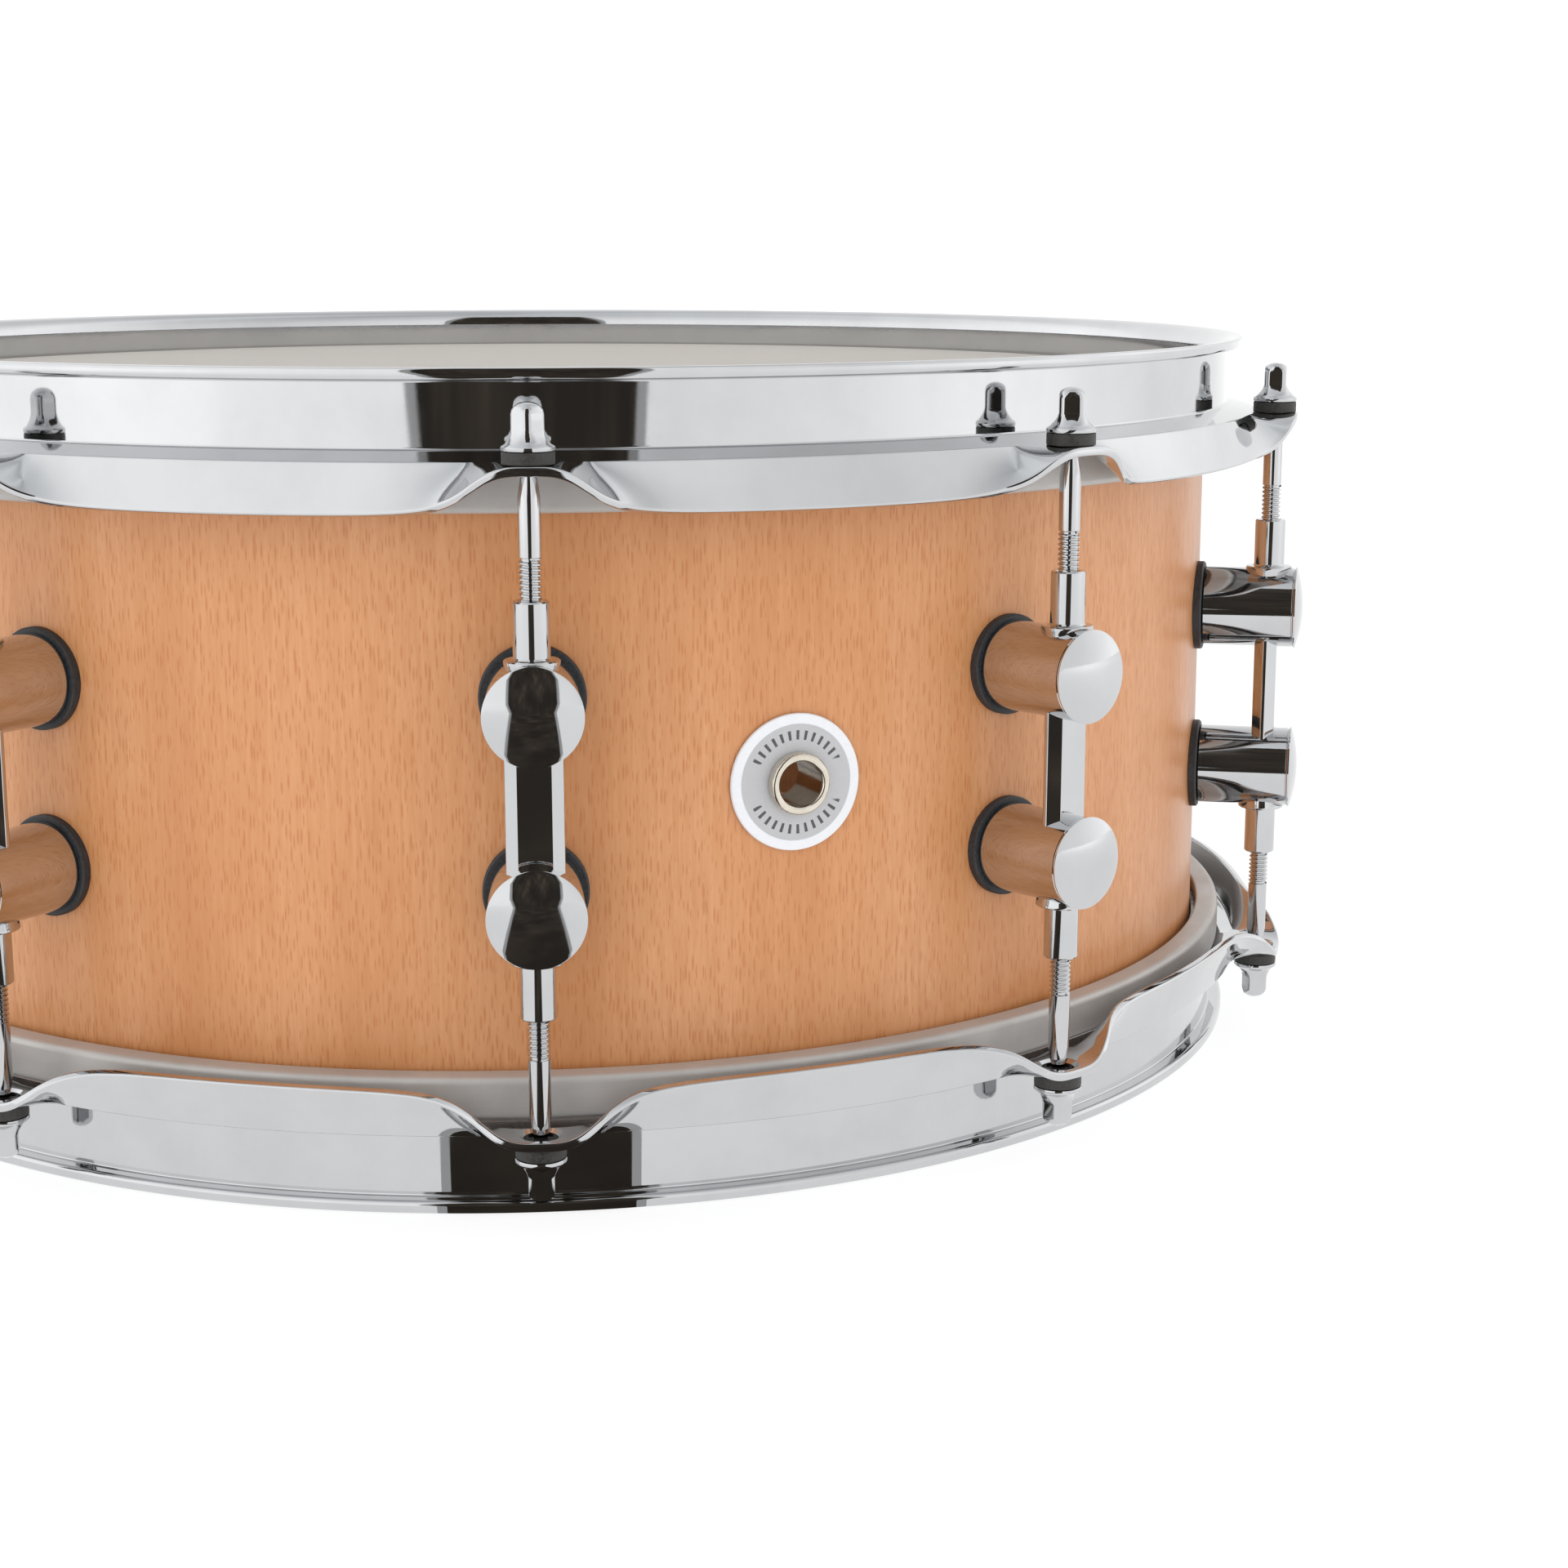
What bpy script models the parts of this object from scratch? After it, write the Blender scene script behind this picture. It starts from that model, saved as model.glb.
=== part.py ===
"""Fourteen-inch snare drum: ply shell, two heads, pressed hoops, ten tube lugs, strainer and snares.

The drum stands on the lip of its snare-side hoop. The origin is on the drum's axis in that plane,
+Z is up and the air vent faces -Y. A bearing is an angle round the drum from the vent towards +X.
Every piece is shaped in station coordinates: x outwards from the drum's axis, y along the shell
towards a greater bearing, z up from the middle of the shell.
"""

import math

import bmesh
import bpy
from mathutils import Matrix, Vector

MM = 0.001

# Shell
SHELL_RADIUS = 177 * MM
SHELL_WALL = 8 * MM
EDGE_HEIGHT = 73 * MM  # snare-side bearing edge
BATTER_EDGE_HEIGHT = 76.2 * MM
EDGE_OUTER = 174.4 * MM
EDGE_INNER = 173.2 * MM
EDGE_DROP = 2.4 * MM
RING_STEPS = 60

# Heads and the hoops that they are set in
FILM = 0.4 * MM
FILM_GAP = 0.4 * MM
FLESH_INNER = 178.6 * MM
FLESH_OUTER = 184.3 * MM
FLESH_TOP = 67.7 * MM
FLESH_BOTTOM = 58.5 * MM
GROOVE_MIDDLE = 62.4 * MM

# Pressed hoops
HALF_HEIGHT = 87.5 * MM
HOOP_INNER = 180.2 * MM
HOOP_WALL = 182.5 * MM
LIP_RADIUS = 186 * MM
LIP_DEPTH = 3 * MM
HOOP_SHEET = 2 * MM
FLANGE_HEIGHT = 69.3 * MM
FLANGE_DROP = 1.9 * MM
APRON_RADIUS = 189.6 * MM
APRON_EDGE = 192 * MM
APRON_BOTTOM = 58.8 * MM
EAR_REACH = 8.6 * MM
EAR_HOLE = 3.75 * MM
SWING_HALF, SWING_POWER = 17 * MM, 4
RISE_HALF, RISE_POWER = 11.3 * MM, 3.6
EAR_STATIONS = (0, 4.5 * MM, 8.5 * MM, 13 * MM, 19 * MM, 28 * MM)

# Lugs and tension rods
LUGS = 10
LUG_PITCH = 360 / LUGS
ROD_RADIUS = 194.7 * MM
POST_HEIGHT = 20.4 * MM
POST_RADIUS = 9.9 * MM
GASKET_RADIUS = 11.1 * MM
POST_FOOT = 177.35 * MM
POST_RIM = 201 * MM
POST_APEX = 204 * MM
SLEEVE_RADIUS = 3.6 * MM
SLEEVE_END = 42.6 * MM
BORE_RADIUS = 2.65 * MM
BORE_END = 13 * MM
THREAD_RADIUS = 2.25 * MM
WASHER_RADIUS = 5.35 * MM
SEAT_GAP = 0.3 * MM
HEAD_TOP = 82.6 * MM

# Badge and vent
BADGE_RADIUS = 14.75 * MM
VENT_HOLE = 4.85 * MM
VENT_TUBE = 5.35 * MM
VENT_RIM = 6.65 * MM
VENT_CUT = 5.75 * MM

# Strainer, butt and snares
STRAINER_BEARING = 108
BUTT_BEARING = STRAINER_BEARING - 180
STRAP_X = 185.7 * MM
STRAP_HALF_WIDTH = 6.3 * MM
STRAP_THICK = 0.4 * MM
STRAP_Z = -75.9 * MM
STRAP_BEND = 5 * MM
STRAP_END = 150.5 * MM
GATE_HALF_WIDTH = 25 * MM
GATE_BOTTOM = -83.2 * MM
LEVER_PIVOT = Vector((188 * MM, 0, 16 * MM))
KNOB_X = 198 * MM
SCREW_Y = 8.6 * MM
STRANDS = 20
STRAND_PITCH = 2.1 * MM
STRAND_RADIUS = 0.9 * MM
STRAND_Z = -75.05 * MM
STRAND_END = 148 * MM
PLATE_END = 160 * MM
MOUNT_SCREW = 2 * MM
MOUNT_HOLE = 2.5 * MM
CLAMP_SCREW = 1.5 * MM
CLAMP_HOLE = 1.9 * MM
STRAINER_SCREWS = (20 * MM, -27 * MM)
BUTT_SCREWS = (-13 * MM, -45 * MM)


# ---------------------------------------------------------------- mesh helpers


def mesh_of(points, faces):
    """Closed mesh with its faces pointing outwards and its round sides shaded smooth."""
    mesh = bpy.data.meshes.new("piece")
    mesh.from_pydata([tuple(point) for point in points], [], faces)
    work = bmesh.new()
    work.from_mesh(mesh)
    bmesh.ops.recalc_face_normals(work, faces=work.faces)
    work.to_mesh(mesh)
    work.free()
    return mesh


def lathe(profile, steps, axis="Z", centre=(0, 0, 0)):
    """Ring turned from a closed outline of (radius, distance along the axis) points."""
    points, faces = [], []
    count = len(profile)
    for step in range(steps):
        turn = 2 * math.pi * step / steps
        points += [turned(r, along, turn, axis) + Vector(centre) for r, along in profile]
        start, after = step * count, (step + 1) % steps * count
        for k in range(count):
            n = (k + 1) % count
            faces.append((start + k, start + n, after + n, after + k))
    return mesh_of(points, faces)


def spindle(profile, steps, axis="Z", centre=(0, 0, 0)):
    """Solid turned from an open outline, closed by a flat face at each end."""
    points, faces = [], []
    count = len(profile)
    for r, along in profile:
        for step in range(steps):
            turn = 2 * math.pi * (step + 0.5) / steps
            points.append(turned(r, along, turn, axis) + Vector(centre))
    for k in range(count - 1):
        for step in range(steps):
            after = (step + 1) % steps
            low, high = k * steps, (k + 1) * steps
            faces.append((low + step, low + after, high + after, high + step))
    faces.append(tuple(range(steps)))
    faces.append(tuple(range((count - 1) * steps, count * steps)))
    return mesh_of(points, faces)


def turned(radius, along, turn, axis):
    across, up = radius * math.cos(turn), radius * math.sin(turn)
    if axis == "X":
        return Vector((along, across, up))
    if axis == "Y":
        return Vector((across, along, up))
    return Vector((across, up, along))


def prism(outline, low, high, axis):
    """Solid with an outline in the plane across an axis, between two places along it."""
    order = {"X": (2, 0, 1), "Y": (0, 2, 1), "Z": (0, 1, 2)}[axis]
    count = len(outline)
    corners = [(a, b, c) for c in (low, high) for a, b in outline]
    points = [tuple(corner[k] for k in order) for corner in corners]
    faces = [(k, (k + 1) % count, count + (k + 1) % count, count + k) for k in range(count)]
    faces += [tuple(range(count)), tuple(range(count, 2 * count))]
    return mesh_of(points, faces)


def block(low, high):
    """Box between two corners."""
    outline = [(low[0], low[1]), (high[0], low[1]), (high[0], high[1]), (low[0], high[1])]
    return prism(outline, low[2], high[2], "Z")


def joined(*meshes):
    """One mesh that holds several, still as separate bodies."""
    work = bmesh.new()
    for mesh in meshes:
        work.from_mesh(mesh)
    whole = bpy.data.meshes.new("piece")
    work.to_mesh(whole)
    work.free()
    return whole


def combined(mesh, tool, operation):
    """Boolean of two meshes: UNION or DIFFERENCE."""
    body = bpy.data.objects.new("body", mesh)
    cutter = bpy.data.objects.new("cutter", tool)
    for item in (body, cutter):
        bpy.context.scene.collection.objects.link(item)
    modifier = body.modifiers.new("Boolean", "BOOLEAN")
    modifier.operation = operation
    modifier.solver = "EXACT"
    modifier.object = cutter
    graph = bpy.context.evaluated_depsgraph_get()
    result = bpy.data.meshes.new_from_object(body.evaluated_get(graph))
    for item in (body, cutter):
        bpy.data.objects.remove(item)
    return result


def union(first, *others):
    for other in others:
        first = combined(first, other, "UNION")
    return first


def cut(mesh, *tools):
    for tool in tools:
        mesh = combined(mesh, tool, "DIFFERENCE")
    return mesh


def bearing_turn(bearing):
    """Rotation that lays station coordinates at a bearing."""
    return Matrix.Rotation(math.radians(bearing - 90), 4, "Z")


def at_bearing(mesh, bearing):
    """Copy of a mesh turned from station coordinates into the drum's."""
    copy = mesh.copy()
    copy.transform(bearing_turn(bearing))
    return copy


def flipped(mesh):
    """Mirror image of a mesh below the middle of the shell, still facing outwards."""
    copy = mesh.copy()
    copy.transform(Matrix.Scale(-1, 4, (0, 0, 1)))
    copy.flip_normals()
    return copy


def material(name, color, roughness, metallic):
    made = bpy.data.materials.new(name)
    made.use_nodes = True
    shader = made.node_tree.nodes["Principled BSDF"]
    shader.inputs["Base Color"].default_value = (*color, 1)
    shader.inputs["Roughness"].default_value = roughness
    shader.inputs["Metallic"].default_value = metallic
    return made


def place(name, mesh, finish, bearing=90, origin=(0, 0, 0)):
    """Object from a station-coordinate mesh, with its origin at a point of those coordinates."""
    data = mesh.copy()
    data.name = name
    data.transform(Matrix.Translation(-Vector(origin)))
    data.materials.clear()
    data.materials.append(finish)
    data.shade_smooth()
    data.set_sharp_from_angle(angle=math.radians(40))
    item = bpy.data.objects.new(name, data)
    item.location = bearing_turn(bearing) @ Vector(origin) + Vector((0, 0, HALF_HEIGHT))
    item.rotation_euler = (0, 0, math.radians(bearing - 90))
    bpy.context.scene.collection.objects.link(item)
    return item


# ---------------------------------------------------------------- shell, badge and vent


def radial_hole(radius, height):
    """Cutter along x through the shell's wall."""
    low, high = SHELL_RADIUS - 2 * SHELL_WALL, SHELL_RADIUS + SHELL_WALL
    return spindle([(radius, low), (radius, high)], 12, "X", (0, 0, height))


def edge_outline(height):
    """Bearing edge from the outside of the shell to its inside."""
    inner = SHELL_RADIUS - SHELL_WALL
    outline = [(SHELL_RADIUS, height - EDGE_DROP), (EDGE_OUTER, height)]
    return outline + [(EDGE_INNER, height), (inner, height - (EDGE_INNER - inner))]


def shell_mesh():
    lower = [(r, -z) for r, z in reversed(edge_outline(EDGE_HEIGHT))]
    mesh = lathe(edge_outline(BATTER_EDGE_HEIGHT) + lower, RING_STEPS)
    cuts = [at_bearing(radial_hole(VENT_CUT, 0), 0)]
    cuts += [at_bearing(radial_hole(MOUNT_HOLE, z), STRAINER_BEARING) for z in STRAINER_SCREWS]
    cuts += [at_bearing(radial_hole(MOUNT_HOLE, z), BUTT_BEARING) for z in BUTT_SCREWS]
    return cut(mesh, joined(*cuts))


def badge_mesh():
    back, front = SHELL_RADIUS + 0.35 * MM, SHELL_RADIUS + 1.25 * MM
    outline = [(VENT_CUT, back), (BADGE_RADIUS, back), (BADGE_RADIUS, front), (VENT_CUT, front)]
    return lathe(outline, 24, "X")


def vent_mesh():
    """Eyelet through the shell, with a rolled rim on each side of the wall."""
    front = SHELL_RADIUS + 1.6 * MM
    nose = front + 2.2 * MM
    back = SHELL_RADIUS - SHELL_WALL - 0.5 * MM
    tail = back - 1.2 * MM
    outline = [(VENT_HOLE, nose), (VENT_RIM - 0.8 * MM, nose), (VENT_RIM, nose - 0.8 * MM), (VENT_RIM, front)]
    outline += [(VENT_TUBE, front), (VENT_TUBE, back), (VENT_RIM, back), (VENT_RIM, tail), (VENT_HOLE, tail)]
    return lathe(outline, 16, "X")


# ---------------------------------------------------------------- heads


def head_mesh(edge):
    """Plastic film over the bearing edge, with its skirt turned out into the flesh hoop's groove."""
    low = edge + FILM_GAP
    high = low + FILM
    bend = EDGE_OUTER + 0.2 * MM
    skirt = SHELL_RADIUS + 0.5 * MM
    shoulder = edge - 2.2 * MM
    groove_low, groove_high = GROOVE_MIDDLE - FILM / 2, GROOVE_MIDDLE + FILM / 2
    tongue = FLESH_INNER + 2 * MM
    outer = [(bend + 0.2 * MM, high), (skirt + FILM, shoulder + 0.2 * MM), (skirt + FILM, groove_high)]
    outer += [(tongue, groove_high), (tongue, groove_low), (skirt, groove_low)]
    inner = [(skirt, shoulder), (bend, low)]
    profile = outer + inner
    points, faces = [], []
    count = len(profile)
    for step in range(RING_STEPS):
        turn = 2 * math.pi * step / RING_STEPS
        points += [turned(r, z, turn, "Z") for r, z in profile]
        start, after = step * count, (step + 1) % RING_STEPS * count
        faces += [(start + k, start + k + 1, after + k + 1, after + k) for k in range(count - 1)]
    faces.append(tuple(step * count for step in range(RING_STEPS)))
    faces.append(tuple(step * count + count - 1 for step in range(RING_STEPS)))
    return mesh_of(points, faces)


def flesh_hoop_mesh():
    groove_low, groove_high = GROOVE_MIDDLE - 0.6 * MM, GROOVE_MIDDLE + 0.6 * MM
    groove = FLESH_INNER + 2.6 * MM
    outline = [(FLESH_INNER, FLESH_BOTTOM), (FLESH_OUTER, FLESH_BOTTOM), (FLESH_OUTER, FLESH_TOP)]
    outline += [(FLESH_INNER, FLESH_TOP), (FLESH_INNER, groove_high), (groove, groove_high)]
    outline += [(groove, groove_low), (FLESH_INNER, groove_low)]
    return lathe(outline, RING_STEPS)


# ---------------------------------------------------------------- pressed hoops


def bell(distance, half_way, power):
    """Smooth fall from 1 at a lug towards 0 between lugs, with a half at one distance."""
    return 1 / (1 + (distance / half_way) ** power)


def hoop_section(distance):
    """Outline of the pressed sheet at a distance along the hoop from the nearest lug.

    Between lugs the sheet ends in a steep apron. At a lug the apron swings out into a flat ear.
    """
    corner = Vector((APRON_RADIUS, FLANGE_HEIGHT))
    reach = EAR_REACH * bell(distance, SWING_HALF, SWING_POWER)
    rise = (FLANGE_HEIGHT - APRON_BOTTOM) * bell(distance, RISE_HALF, RISE_POWER)
    edge = Vector((APRON_EDGE + reach, APRON_BOTTOM + rise))
    along = (edge - corner).normalized()
    inward = Vector((along.y, -along.x)) * HOOP_SHEET
    under_corner = (APRON_RADIUS - HOOP_SHEET, FLANGE_HEIGHT - HOOP_SHEET)
    lip_bottom = HALF_HEIGHT - LIP_DEPTH
    section = [(HOOP_INNER, HALF_HEIGHT), (LIP_RADIUS, HALF_HEIGHT), (LIP_RADIUS, lip_bottom)]
    section += [(HOOP_WALL, lip_bottom), (HOOP_WALL, FLANGE_HEIGHT + FLANGE_DROP)]
    section += [tuple(corner), tuple(edge), tuple(edge + inward), under_corner]
    section += [(HOOP_INNER, FLANGE_HEIGHT)]
    return section


def hoop_stations():
    """Bearings of the sections, close together near a lug, each with its distance to the lug."""
    pitch = math.radians(LUG_PITCH) * APRON_RADIUS
    steps = [*EAR_STATIONS, pitch / 2]
    offsets = [-s for s in reversed(steps[1:-1])] + steps
    stations = []
    for lug in range(LUGS):
        for offset in offsets:
            stations.append((LUG_PITCH * (lug + 0.5) + math.degrees(offset / APRON_RADIUS), abs(offset)))
    return stations


def hoop_mesh():
    points, faces = [], []
    stations = hoop_stations()
    for bearing, distance in stations:
        turn = math.radians(bearing - 90)
        section = hoop_section(distance)
        points += [turned(r, z, turn, "Z") for r, z in section]
    count = len(section)
    for place_in_ring in range(len(stations)):
        start, after = place_in_ring * count, (place_in_ring + 1) % len(stations) * count
        for k in range(count):
            n = (k + 1) % count
            faces.append((start + k, start + n, after + n, after + k))
    return mesh_of(points, faces)


def ear_holes():
    low, high = FLANGE_HEIGHT - 2 * HOOP_SHEET, FLANGE_HEIGHT + HOOP_SHEET
    hole = spindle([(EAR_HOLE, low), (EAR_HOLE, high)], 8, "Z", (ROD_RADIUS, 0, 0))
    return [at_bearing(hole, bearing) for bearing in lug_bearings()]


def batter_hoop_mesh():
    return cut(hoop_mesh(), joined(*ear_holes()))


def snare_side_hoop_mesh():
    """The lower hoop, with a gate at each end of the snares where the straps pass out."""
    gate = block((HOOP_INNER - 2 * MM, -GATE_HALF_WIDTH, GATE_BOTTOM), (210 * MM, GATE_HALF_WIDTH, -50 * MM))
    gates = [at_bearing(gate, b) for b in (STRAINER_BEARING, BUTT_BEARING)]
    holes = [flipped(hole) for hole in ear_holes()]
    return cut(flipped(hoop_mesh()), joined(*holes, *gates))


# ---------------------------------------------------------------- lugs and tension rods


def lug_bearings():
    return [LUG_PITCH * (lug + 0.5) for lug in range(LUGS)]


def post_mesh(height):
    """Turned post on its gasket, with a domed cap."""
    seat = POST_FOOT + 1.6 * MM
    outline = [(GASKET_RADIUS, POST_FOOT), (GASKET_RADIUS, seat)]
    outline += [(POST_RADIUS, seat), (POST_RADIUS, POST_RIM)]
    outline += [(0.62 * POST_RADIUS, POST_APEX - 0.4 * MM), (0.25 * POST_RADIUS, POST_APEX)]
    return spindle(outline, 12, "X", (0, 0, height))


def sleeve_mesh():
    """Threaded sleeve that stands on the post and takes the tension rod."""
    collar = POST_HEIGHT + POST_RADIUS
    outline = [(SLEEVE_RADIUS, BORE_END - 1 * MM), (SLEEVE_RADIUS + 1.6 * MM, collar - 1 * MM)]
    outline += [(SLEEVE_RADIUS, collar + 2 * MM), (SLEEVE_RADIUS, SLEEVE_END - 0.8 * MM)]
    outline += [(SLEEVE_RADIUS - 0.5 * MM, SLEEVE_END)]
    return spindle(outline, 10, "Z", (ROD_RADIUS, 0, 0))


def bar_mesh():
    """Bar between the posts, with a flat front and chamfered sides."""
    deep, flat, wide, side = 2.75 * MM, 3.6 * MM, 5.95 * MM, 0.6 * MM
    quarter = [(deep, -flat), (deep, flat), (side, wide), (-side, wide)]
    outline = [(ROD_RADIUS + x, y) for x, y in quarter] + [(ROD_RADIUS - x, -y) for x, y in quarter]
    reach = POST_HEIGHT - 0.6 * POST_RADIUS
    return prism(outline, -reach, reach, "Z")


def lug_mesh():
    whole = union(bar_mesh(), post_mesh(POST_HEIGHT), sleeve_mesh())
    whole = union(whole, post_mesh(-POST_HEIGHT), flipped(sleeve_mesh()))
    bore = spindle([(BORE_RADIUS, BORE_END), (BORE_RADIUS, SLEEVE_END + 1 * MM)], 10, "Z", (ROD_RADIUS, 0, 0))
    return cut(whole, joined(bore, flipped(bore)))


def rod_mesh():
    """Tension rod with its washer, flange and key head, about its own axis."""
    seat = FLANGE_HEIGHT + SEAT_GAP
    head = 3.4 * MM
    outline = [(head - 0.8 * MM, HEAD_TOP), (head, HEAD_TOP - 1.3 * MM), (head, seat + 6.6 * MM)]
    outline += [(WASHER_RADIUS, seat + 3.9 * MM), (WASHER_RADIUS, seat)]
    outline += [(THREAD_RADIUS, seat), (THREAD_RADIUS, BORE_END + 2 * MM)]
    return spindle(outline, 8, "Z", (ROD_RADIUS, 0, 0))


# ---------------------------------------------------------------- strainer, butt and snares


def radial_screw(radius, tip, neck, head_end, centre):
    """Screw along x with a wide head between its neck and its head's end."""
    head = 1.8 * radius
    outline = [(radius, tip), (radius, neck), (head, neck), (head, head_end)]
    return spindle(outline, 10, "X", centre)


def tall_hole(radius, low, high, x):
    return spindle([(radius, low), (radius, high)], 12, "Z", (x, 0, 0))


def side_hole(radius, half_width, x, z):
    return spindle([(radius, -half_width), (radius, half_width)], 12, "Y", (x, 0, z))


def clamp_holes(z):
    """Cutters for the two screws of a strap clamp."""
    hole = [(CLAMP_HOLE, SHELL_RADIUS + 2 * MM), (CLAMP_HOLE, SHELL_RADIUS + 15 * MM)]
    return joined(*[spindle(hole, 12, "X", (0, y, z)) for y in (-SCREW_Y, SCREW_Y)])


def mount_holes(heights):
    """Cutters for the two screws that hold a fitting to the shell."""
    hole = [(MOUNT_HOLE, SHELL_RADIUS - 2 * MM), (MOUNT_HOLE, SHELL_RADIUS + 6 * MM)]
    return joined(*[spindle(hole, 12, "X", (0, 0, z)) for z in heights])


def strainer_base_mesh():
    """Channel on the shell whose two cheeks guide the slide and hold the lever's pin."""
    back, floor, front, inner, outer = (v * MM for v in (177.4, 181, 193, 12, 15))
    outline = [(back, -outer), (back, outer), (front, outer), (front, inner), (floor, inner)]
    outline += [(floor, -inner), (front, -inner), (front, -outer)]
    channel = prism(outline, -34 * MM, 26 * MM, "Z")
    pin_hole = side_hole(2.5 * MM, 20 * MM, LEVER_PIVOT.x, LEVER_PIVOT.z)
    return cut(channel, pin_hole, mount_holes(STRAINER_SCREWS))


def lever_pin_mesh():
    corners = (-17.2, 3.4), (-15.4, 3.4), (-15.4, 2), (15.4, 2), (15.4, 3.4), (17.2, 3.4)
    outline = [(y, r) for r, y in corners]
    outline = [(r * MM, y * MM) for r, y in outline]
    return spindle(outline, 12, "Y", (LEVER_PIVOT.x, 0, LEVER_PIVOT.z))


def lever_mesh():
    """Throw-off lever, upright when the snares are on."""
    outline = [(184, 12), (188, 10), (193.5, 10), (197.5, 14), (197.5, 44), (203, 52), (200.8, 54)]
    outline += [(193.5, 46), (193.5, 24), (188, 22), (184, 20)]
    arm = prism([(x * MM, z * MM) for x, z in outline], -9 * MM, 9 * MM, "Y")
    return cut(arm, side_hole(2.5 * MM, 20 * MM, LEVER_PIVOT.x, LEVER_PIVOT.z))


def slide_mesh():
    """Slide in the strainer's channel, with a shelf that carries the tension knob."""
    outline = [(181.4, -33), (204.5, -33), (204.5, -29), (190.6, -29), (190.6, -3), (181.4, -3)]
    body = prism([(x * MM, z * MM) for x, z in outline], -11.5 * MM, 11.5 * MM, "Y")
    return cut(body, tall_hole(2.7 * MM, -36 * MM, -26 * MM, KNOB_X))


def clamp_block_mesh():
    """Block that the knob raises and lowers, with the fixed jaw of the strap clamp."""
    outline = [(183, -33.6), (204.5, -33.6), (204.5, -38.5), (185.2, -38.5), (185.2, -52), (183, -52)]
    body = prism([(x * MM, z * MM) for x, z in outline], -11.5 * MM, 11.5 * MM, "Y")
    return cut(body, tall_hole(2.7 * MM, -42 * MM, -30 * MM, KNOB_X), clamp_holes(-46 * MM))


def knob_mesh():
    outline = [(5.4, -18.6), (6.3, -19.6), (6.3, -27.7), (5.6, -28.6), (2.2, -28.6), (2.2, -41)]
    return spindle([(r * MM, z * MM) for r, z in outline], 16, "Z", (KNOB_X, 0, 0))


def clamp_plate_mesh(low, high, screw_z):
    plate = block((STRAP_X + 0.5 * MM, -11.4 * MM, low), (STRAP_X + 2.5 * MM, 11.4 * MM, high))
    return cut(plate, clamp_holes(screw_z))


def strap_mesh(top):
    """Ribbon that hangs from a clamp, bends under the hoop and reaches the snares' end plate."""
    half = STRAP_THICK / 2
    centre = Vector((STRAP_X - STRAP_BEND, STRAP_Z + STRAP_BEND))
    inner, outer = [(STRAP_X - half, top)], [(STRAP_X + half, top)]
    for step in range(6):
        turn = math.radians(18 * step)
        ray = Vector((math.cos(turn), -math.sin(turn)))
        inner.append(tuple(centre + ray * (STRAP_BEND - half)))
        outer.append(tuple(centre + ray * (STRAP_BEND + half)))
    inner.append((STRAP_END, STRAP_Z + half))
    outer.append((STRAP_END, STRAP_Z - half))
    ribbon = prism(inner + outer[::-1], -STRAP_HALF_WIDTH, STRAP_HALF_WIDTH, "Y")
    return ribbon


def butt_body_mesh():
    """Fixed anchor of the snares, with one jaw of its strap clamp."""
    outline = [(177.4, -8), (182.5, -8), (185.2, -12), (185.2, -50), (177.4, -50)]
    body = prism([(x * MM, z * MM) for x, z in outline], -13 * MM, 13 * MM, "Y")
    return cut(body, mount_holes(BUTT_SCREWS), clamp_holes(-29 * MM))


def snare_wires_mesh():
    """Parallel coiled strands between two end plates, across the whole snare-side head."""
    half_width = (STRANDS - 1) / 2 * STRAND_PITCH
    strands = []
    for strand in range(STRANDS):
        centre = (0, strand * STRAND_PITCH - half_width, STRAND_Z)
        ends = [(STRAND_RADIUS, -STRAND_END), (STRAND_RADIUS, STRAND_END)]
        strands.append(spindle(ends, 4, "X", centre))
    top, bottom, side = -74.15 * MM, -75.4 * MM, half_width + 1.6 * MM
    plates = joined(*[
        block((min(a, b), -side, bottom), (max(a, b), side, top))
        for a, b in ((140 * MM, PLATE_END), (-140 * MM, -PLATE_END))
    ])
    return union(plates, joined(*strands))


# ---------------------------------------------------------------- assembly


def finishes():
    return {
        "wood": material("beech_ply", (0.66, 0.36, 0.18), 0.42, 0),
        "film": material("coated_film", (0.87, 0.84, 0.80), 0.75, 0),
        "clear": material("snare_side_film", (0.80, 0.80, 0.78), 0.35, 0),
        "alloy": material("satin_aluminium", (0.62, 0.62, 0.62), 0.38, 1),
        "chrome": material("chrome", (0.78, 0.79, 0.82), 0.08, 1),
        "nickel": material("nickel", (0.72, 0.70, 0.66), 0.18, 1),
        "badge": material("badge_enamel", (0.83, 0.83, 0.82), 0.4, 0),
        "strap": material("strap_film", (0.86, 0.86, 0.84), 0.3, 0),
        "steel": material("bright_steel", (0.66, 0.66, 0.67), 0.25, 1),
    }


def build_shell(finish):
    place("shell", shell_mesh(), finish["wood"])
    place("badge_plate", badge_mesh(), finish["badge"], 0)
    place("vent_grommet", vent_mesh(), finish["nickel"], 0)


def build_heads_and_hoops(finish):
    flesh_hoop = flesh_hoop_mesh()
    place("batter_head", head_mesh(BATTER_EDGE_HEIGHT), finish["film"])
    place("batter_flesh_hoop", flesh_hoop, finish["alloy"])
    place("batter_hoop", batter_hoop_mesh(), finish["chrome"])
    place("snare_side_head", flipped(head_mesh(EDGE_HEIGHT)), finish["clear"])
    place("snare_side_flesh_hoop", flipped(flesh_hoop), finish["alloy"])
    place("snare_side_hoop", snare_side_hoop_mesh(), finish["chrome"])


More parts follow.
